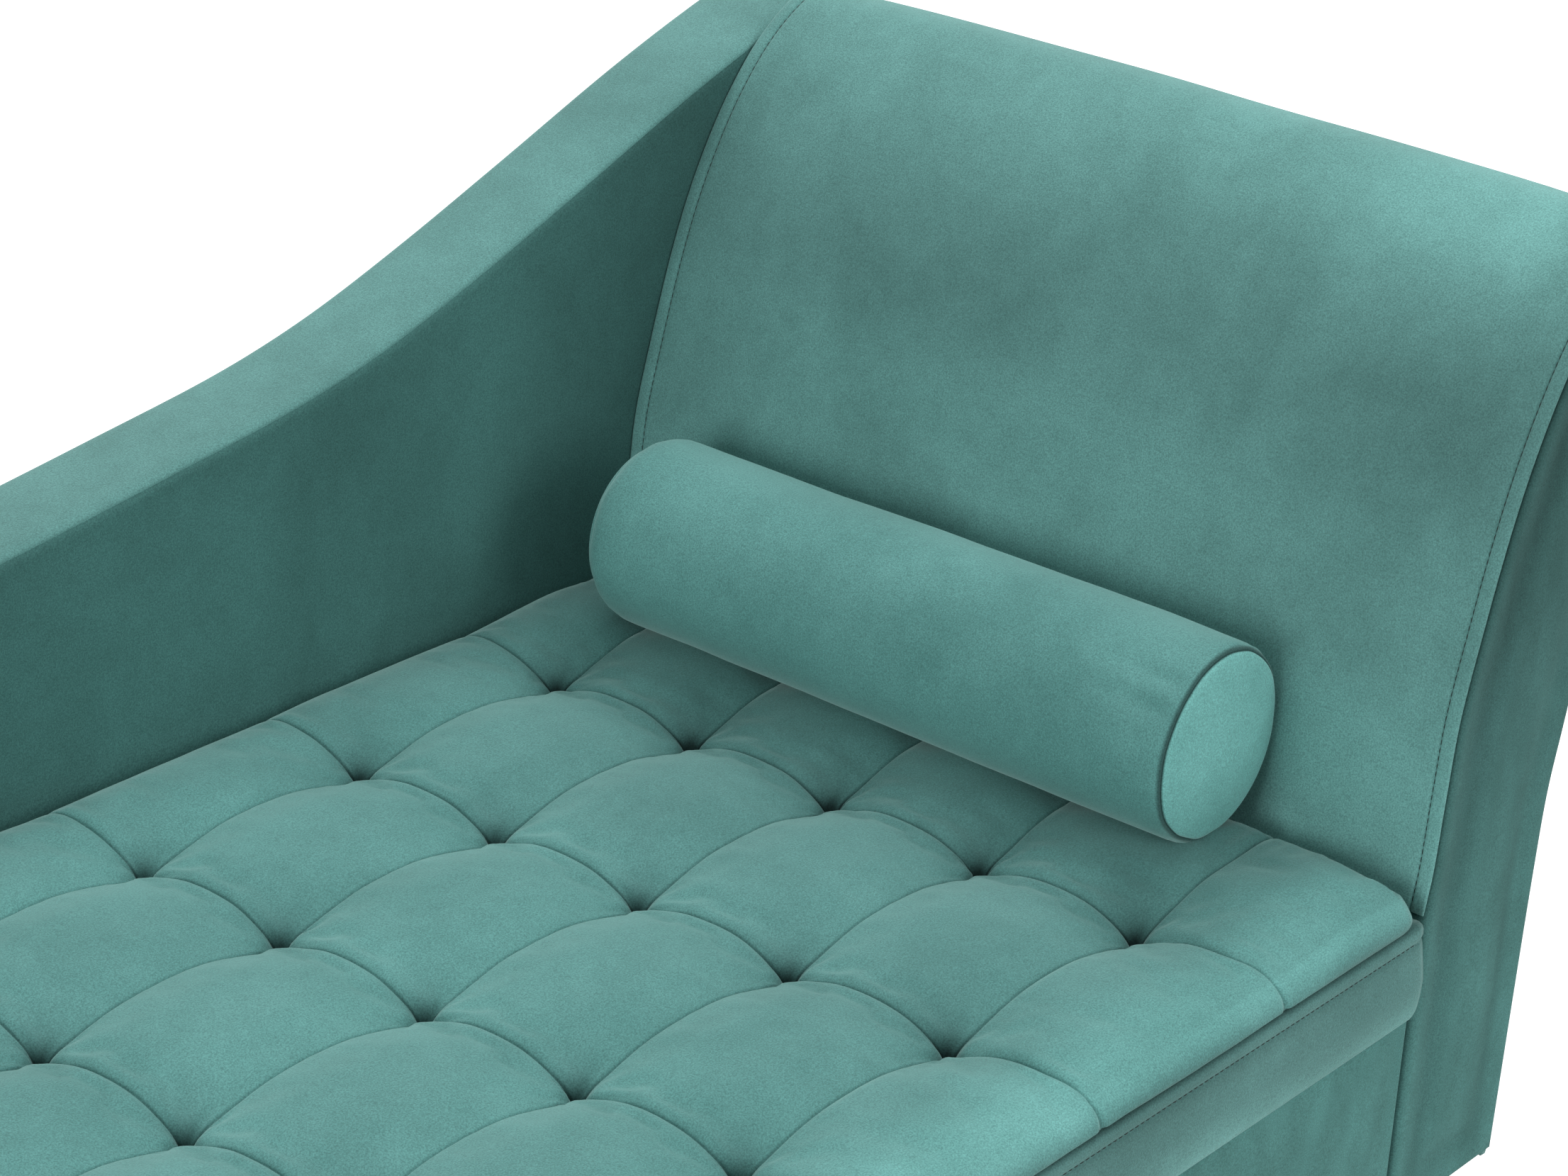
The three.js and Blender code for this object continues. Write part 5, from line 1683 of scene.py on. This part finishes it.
    def build(self) -> None:
        """All three pieces."""
        self.strip()
        self.face("arm_inside", "arm_inner_pad", -1, Nap.CLOSED)
        self.face("arm_outside", "arm_outer_pad", 1, Nap.LEVEL)


@dataclass
class BoxCover:
    """The storage box's covered panels, set back under the lid."""

    edge: float = 4 * MM
    # The panels are painted lighter all over: painted light on the velvet's shaded copy.
    painted_light_and_tone: float = 0.4
    step: float = 7 * MM

    def panel(self, side: str, axis: int) -> bpy.types.Object:
        """One covered panel.

        Args:
            side: the side's name in the frame's nodes.
            axis: 0 where it faces the foot end, 1 where it faces the open side.

        Returns:
            The panel's cover.
        """
        a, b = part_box("box_panel_" + side)
        start, end = (a.x, b.x) if axis == 1 else (a.y, b.y)
        line = resample(np.array([(start, a.z), (end, a.z), (end, b.z), (start, b.z)]), self.step)
        panel = Panel(
            bulge=1.2 * MM, edge_drop=2.5 * MM, edge_reach=self.edge, ripple=0.6 * MM, depth=18 * MM,
        )
        flat, out, faces = panel.build(line)
        if axis == 1:
            vertices = np.stack([flat[:, 0], a.y - out, flat[:, 1]], 1)
        else:
            vertices = np.stack([a.x - out, flat[:, 0], flat[:, 1]], 1)
        painted_light_and_tone = np.full(len(vertices), self.painted_light_and_tone)
        velvet = Velvet(Nap.CLOSED, streaks=True).build()
        piece = make_object("base_panel_" + side, vertices, faces, velvet, painted_light_and_tone)
        return upholster(piece, "box_panel_" + side)

    def build(self) -> None:
        """The open side and the foot end."""
        self.panel("open", 1)
        self.panel("foot", 0)


@dataclass
class Bolster:
    """The loose bolster: a stuffed tube with a round cap sewn into the near end and a plain soft far end."""

    near_fullness: float = 8 * MM
    far_fullness: float = 11 * MM
    pole_inset: float = 0.4 * MM
    lift: float = 1.5 * MM
    sides: int = 112
    body_steps: int = 60
    # Millimetres in from the end and out from the axis: the cap, its sewn seam, and the tube's shoulder.
    cap: tuple = (
        (0, 0), (0.2, 8), (0.8, 18), (1.7, 28), (2.9, 37), (4.2, 44), (5.4, 49), (6.4, 52), (7.3, 53.4),
        (8.5, 53.6), (8.9, 53.9), (8.4, 54.6), (9.0, 55.6), (10.6, 56.6), (13.5, 57.2), (19, 57.5),
        (30, 57.5),
    )
    soft_end: tuple = (
        (0, 0), (0.3, 9), (1.0, 19), (2.2, 29), (3.8, 38), (6, 45), (8.6, 48.8), (10, 49.4),
        (11, 50.2), (12.6, 52), (15, 54), (18.5, 55.7), (23, 56.8), (29, 57.4), (38, 57.5),
    )
    sheet_sides: int = 60
    sheet_step: float = 6 * MM
    sheet_start: float = 10.5 * MM
    sheet_end: float = 17 * MM
    sheet_cap: float = 4 * MM
    slack: float = 0.012
    growth_per_slack: float = 2.2
    shoulder: float = 9 * MM
    shoulder_length: float = 20 * MM
    waves: tuple = ((0.9 * MM, 52 * MM), (0.35 * MM, 19 * MM))
    sink: float = 0.4 * MM
    gathers: tuple = (0.7 * MM, 11 * MM)
    gather_place: float = 10 * MM
    proudest: float = 1.2 * MM
    pinch: tuple = (1.3 * MM, 14 * MM)
    pinch_place: float = 8.9 * MM
    pinch_width: float = 3 * MM
    # A painted highlight on the near cap, partly the nap's own look, and painted shade in its seam.
    cap_painted_light: float = 0.6
    seam_painted_shade: float = -0.75
    seam_place: float = 8.7 * MM
    seam_width: float = 0.8 * MM
    seed: int = 31

    def settle(self, profile: list, length: float, stations: np.ndarray) -> np.ndarray:
        """How far the cloth run moves the tube out from its axis.

        Args:
            profile: (distance, radius) pairs along the axis.
            length: the tube's length.
            stations: distances along the axis that want a value.

        Returns:
            One row for each station and one column for each side, in metres outwards.
        """
        first, last = self.sheet_start, length - self.sheet_end
        along = np.linspace(first, last, round((last - first) / self.sheet_step) + 1)
        distances, radii = np.array(profile).T
        radius = np.interp(along, distances, radii) * (1 - self.slack)
        turns = np.linspace(0, FULL_TURN, self.sheet_sides, endpoint=False)
        ring = np.stack([np.cos(turns), np.sin(turns)], 1)
        places = np.broadcast_to(along[:, None, None], (len(along), len(turns), 1))
        tube = np.concatenate([radius[:, None, None] * ring, places], 2)
        number = np.arange(tube.shape[0] * tube.shape[1]).reshape(tube.shape[:2])
        faces = np.vstack([ring_faces(a, b) for a, b in zip(number[:-1], number[1:])])
        held = np.zeros(number.shape, bool)
        held[[0, -1]] = True
        cloth = Settling(growth=self.growth_per_slack * self.slack, cap=self.sheet_cap)
        move = cloth.run("bolster_cover", tube.reshape(-1, 3), faces, held.ravel()).reshape(tube.shape)
        outward = (move[..., :2] * ring).sum(-1) - self.slack * radius[:, None]
        outward[[0, -1]] = 0
        wrap = np.concatenate([outward[:, -2:], outward, outward[:, :3]], 1)
        coarse = FULL_TURN / self.sheet_sides * (np.arange(wrap.shape[1]) - 2)
        fine = np.linspace(0, FULL_TURN, self.sides, endpoint=False)
        inside = (stations >= first) & (stations <= last)
        spread = spread_weights(along, stations) @ wrap @ spread_weights(coarse, fine).T
        return spread * inside[:, None]

    def reach(
        self, distance: float, near: float, radius: float, full: float, turns: np.ndarray
    ) -> tuple[np.ndarray, np.ndarray]:
        """How far from the axis the cover lies round one station, before the cloth run's share.

        Args:
            distance: how far along the axis the station is.
            near: its distance from the nearer end.
            radius: the profile's radius there.
            full: the tube's full radius.
            turns: the angles round the axis.

        Returns:
            One distance for each angle, and how far the cap's seam pinches it in or out afterwards.
        """
        stretched = np.full(self.sides, distance) * 0.7
        spots = np.stack([stretched, np.cos(turns) * full, np.sin(turns) * full], 1)
        noises = [self.waves[0], self.waves[1], self.gathers, self.pinch]
        long, short, gather, pinch = (
            deep * value_noise(spots, size, self.seed + k) for k, (deep, size) in enumerate(noises)
        )
        gather *= bell(near, self.shoulder, self.gather_place) * float(near > self.shoulder)
        shell = ramp(near, self.shoulder, self.shoulder_length) * (long + short - self.sink)
        return radius + shell + gather, bell(distance, self.pinch_width, self.pinch_place) * pinch

    def build(self) -> bpy.types.Object:
        """The cover as one closed piece on its own body.

        Returns:
            The bolster's cover.
        """
        a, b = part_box("bolster")
        co = np.array([v.co for v in frame["nodes"]["bolster"].data.vertices])
        start, end = co[np.argmin(co[:, 1])], co[np.argmax(co[:, 1])]
        axis = (end - start) / np.linalg.norm(end - start)
        start, end = start - self.near_fullness * axis, end + self.far_fullness * axis
        length = float(np.linalg.norm(end - start))
        full = (b.z - a.z) / 2
        across = np.cross(axis, (0, 0, 1))
        across /= np.linalg.norm(across)
        up = np.cross(across, axis)
        near_end = [(d * MM, r * MM) for d, r in self.cap]
        far_end = [(length - d * MM, r * MM) for d, r in self.soft_end[::-1]]
        body = np.linspace(near_end[-1][0], far_end[0][0], self.body_steps)[1:-1]
        stations = [*near_end, *((d, full) for d in body), *far_end]
        turns = np.linspace(0, FULL_TURN, self.sides, endpoint=False)
        spokes = np.cos(turns)[:, None] * across + np.sin(turns)[:, None] * up
        settled = self.settle(stations, length, np.array([d for d, _ in stations[1:-1]]))
        vertices, rings = [start + axis * self.pole_inset], []
        for (d, r), swell in zip(stations[1:-1], settled):
            reach, pinched = self.reach(d, min(d, length - d), r, full, turns)
            reach = np.minimum(reach + swell, full + self.proudest) + pinched
            rings.append(list(range(len(vertices), len(vertices) + self.sides)))
            vertices += list(start + np.array([0, 0, self.lift]) + axis * d + reach[:, None] * spokes)
        vertices.append(end - axis * self.pole_inset)
        last = len(vertices) - 1
        n = self.sides
        faces = [[0, rings[0][(k + 1) % n], rings[0][k]] for k in range(n)]
        for p, q in zip(rings[:-1], rings[1:]):
            faces += ring_faces(p, q)
        faces += [[last, rings[-1][k], rings[-1][(k + 1) % n]] for k in range(n)]
        vertices = np.array(vertices)
        painted_light_and_tone = self.painted_light_and_tone(vertices, start, axis)
        piece = make_object("bolster_cover", vertices, faces, Velvet(Nap.OPEN).build(), painted_light_and_tone)
        return upholster(piece, "bolster", "bolster")

    def painted_light_and_tone(self, vertices: np.ndarray, start: np.ndarray, axis: np.ndarray) -> np.ndarray:
        """A painted highlight on the cap, partly the nap's own look, and painted shade in its seam.

        Args:
            vertices: the cover's points.
            start: the middle of the near end.
            axis: the bolster's direction.

        Returns:
            The painted light and shade.
        """
        along = (vertices - start) @ axis
        from_axis = np.linalg.norm(vertices - start - along[:, None] * axis, axis=1)
        seam = bell(along, self.seam_width, self.seam_place) * (from_axis > 50 * MM)
        return self.cap_painted_light * (along < self.near_fullness) + self.seam_painted_shade * seam


# Legs and hardware


@dataclass
class Leg:
    """A turned, tapered leg."""

    label: str
    sides: int = 64
    foot_radius: float = 13 * MM
    bevel: float = 2.5 * MM
    bevel_out: float = 0.8 * MM
    bevel_up: float = 0.6 * MM
    taper_steps: int = 12
    crisp_degrees: float = 50.0

    def build(self) -> bpy.types.Object:
        """The leg, smooth and softly chamfered, in the place of the frame's own.

        Returns:
            The leg.
        """
        a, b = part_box("leg_" + self.label)
        cx, cy = (a.x + b.x) / 2, (a.y + b.y) / 2
        foot, top, height, bevel = self.foot_radius, (b.x - a.x) / 2, b.z - a.z, self.bevel
        profile = [(foot - bevel, 0), (foot - self.bevel_out, self.bevel_up), (foot, bevel)]
        for k in range(1, self.taper_steps):
            t = k / self.taper_steps
            profile.append((foot + (top - foot) * t, bevel + (height - 2 * bevel) * t))
        profile += [(top, height - bevel), (top - self.bevel_out, height - self.bevel_up)]
        profile.append((top - bevel, height))
        turns = np.linspace(0, FULL_TURN, self.sides, endpoint=False)
        rings = [
            np.stack([cx + r * np.cos(turns), cy + r * np.sin(turns), np.full(self.sides, a.z + h)], 1)
            for r, h in profile
        ]
        vertices, faces = swept(np.array(rings))
        piece = make_object("turned_leg_" + self.label, vertices, faces, LEG_WOOD.build())
        piece.data.set_sharp_from_angle(angle=math.radians(self.crisp_degrees))
        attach(piece, "frame")
        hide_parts("leg_" + self.label)
        log.info("%s: %d vertices", piece.name, len(vertices))
        return piece


FRAME_FINISHES = {
    "softwood": PINE,
    "plywood": PLYWOOD,
    "plate_steel": ZINC,
    "hinge_steel": ZINC,
    "strut_black": ENAMEL,
    "rod_chrome": CHROME,
    "bumper_rubber": RUBBER,
    "glide_plastic": GLIDE,
}


def dress_frame() -> None:
    """Gives the frame's rigid pieces their finishes, and the hinge rail behind the lid its velvet."""
    slots = {s["node"]: s["material_slot"] for s in frame["record"]["subparts"]}
    for name, node in frame["nodes"].items():
        finish = Velvet(Nap.CLOSED) if name == "hinge_rail" else FRAME_FINISHES.get(slots[name])
        if finish is None:
            continue
        node.data.materials.clear()
        node.data.materials.append(finish.build())
        log.info("%s: %s", name, node.data.materials[0].name)


# The studio


@dataclass(frozen=True)
class Lamp:
    """A square soft lamp aimed at a place."""

    name: str
    place: tuple
    target: tuple
    size: float
    power: float

    def build(self) -> None:
        """Hangs the lamp in the scene."""
        data = bpy.data.lights.new(self.name, "AREA")
        data.shape = "SQUARE"
        data.size = self.size
        data.energy = self.power
        lamp = bpy.data.objects.new(self.name, data)
        lamp.location = self.place
        aim = Vector(self.target) - Vector(self.place)
        lamp.rotation_euler = aim.to_track_quat("-Z", "Y").to_euler()
        bpy.context.scene.collection.objects.link(lamp)


@dataclass
class Studio:
    """A pale floor, soft lamps and a camera at the photograph's angle."""

    lens: float = 94.6
    sensor: float = 36.0
    azimuth: float = -51.14
    elevation: float = 24.53
    roll: float = 3.09
    place: tuple = (-1.1643, -1.2802, 1.4618)
    ambient: float = 0.41
    floor_half: float = 14.0
    floor_colour: tuple = (0.8, 0.8, 0.8, 1)
    glow_near: float = 0.9
    glow_far: float = 3.0
    near_glow: float = 0.5
    far_glow: float = 0.72
    lamps: tuple = (
        Lamp("overhead", (1.6, 0.4, 2.8), (0.3, 0.0, 0.5), 1.8, 42),
        Lamp("left", (-3.0, -0.3, 1.35), (0.4, 0.0, 0.5), 1.4, 46),
        Lamp("right", (0.6, -3.0, 1.6), (0.3, 0.0, 0.5), 1.6, 24),
    )

    def camera(self) -> None:
        """The camera, where the photograph was taken from."""
        data = bpy.data.cameras.new("camera")
        data.lens = self.lens
        data.sensor_width = self.sensor
        data.sensor_fit = "HORIZONTAL"
        data.clip_end = 60
        camera = bpy.data.objects.new("camera", data)
        turn = (
            Matrix.Rotation(math.radians(self.azimuth), 4, "Z")
            @ Matrix.Rotation(math.radians(90 - self.elevation), 4, "X")
            @ Matrix.Rotation(math.radians(self.roll), 4, "Z")
        )
        camera.matrix_world = Matrix.Translation(self.place) @ turn
        bpy.context.scene.collection.objects.link(camera)
        bpy.context.scene.camera = camera

    def world(self) -> None:
        """An even grey light that the camera and reflections see as white."""
        world = bpy.data.worlds.new("studio")
        bpy.context.scene.world = world
        world.use_nodes = True
        tree = world.node_tree
        tree.nodes.clear()
        path = add_node(tree, "ShaderNodeLightPath").outputs
        seen = path["Is Camera Ray"]
        for kind in ("Is Glossy Ray", "Is Transmission Ray"):
            seen = add_node(tree, "ShaderNodeMath", {0: seen, 1: path[kind]}, operation="MAXIMUM").outputs[0]
        levels = {"Value": seen, "To Min": self.ambient, "To Max": 1.0}
        strength = add_node(tree, "ShaderNodeMapRange", levels).outputs[0]
        background = add_node(tree, "ShaderNodeBackground", {"Color": (1, 1, 1, 1), "Strength": strength})
        add_node(tree, "ShaderNodeOutputWorld", {"Surface": background.outputs[0]})

    def floor(self) -> None:
        """The pale floor, which keeps the couch's shadow."""
        half = self.floor_half
        vertices = np.array([(-half, -half, 0), (half, -half, 0), (half, half, 0), (-half, half, 0)], float)
        # A matt paper sweep: pale grey near the couch, so that its shadow shows, and white further off.
        material, tree, place = empty_material("pale_floor")
        path = add_node(tree, "ShaderNodeLightPath").outputs
        matt = add_node(tree, "ShaderNodeBsdfDiffuse", {"Color": self.floor_colour}).outputs[0]
        away = add_node(tree, "ShaderNodeVectorMath", {0: place}, operation="LENGTH").outputs["Value"]
        levels = {
            "Value": away,
            "From Min": self.glow_near,
            "From Max": self.glow_far,
            "To Min": self.near_glow,
            "To Max": self.far_glow,
        }
        level = add_node(tree, "ShaderNodeMapRange", levels, clamp=True).outputs["Result"]
        glow = add_node(tree, "ShaderNodeEmission", {"Color": (1, 1, 1, 1), "Strength": level}).outputs[0]
        both = add_node(tree, "ShaderNodeAddShader", {0: matt, 1: glow}).outputs[0]
        by_ray = {0: path["Is Camera Ray"], 1: matt, 2: both}
        shown = add_node(tree, "ShaderNodeMixShader", by_ray).outputs[0]
        add_node(tree, "ShaderNodeOutputMaterial", {"Surface": shown})
        floor = make_object("floor", vertices, [[0, 1, 2, 3]], material)

    def build(self) -> None:
        """Everything that isn't the couch."""
        self.camera()
        self.world()
        self.floor()
        for lamp in self.lamps:
            lamp.build()
        bpy.context.scene.view_settings.view_transform = "Standard"


def main() -> None:
    """Builds the studio, then the couch piece by piece."""
    logging.basicConfig(level=logging.INFO, format="%(message)s")
    Studio().build()
    outline = back_outline()
    for part in (TuftedSeat(), LidBand(), Backrest(outline), Arm(outline), BoxCover(), Bolster()):
        part.build()
    for label in ("foot_open", "foot_arm", "rear_open", "rear_arm"):
        Leg(label).build()
    dress_frame()


if __name__ == "__main__":
    main()
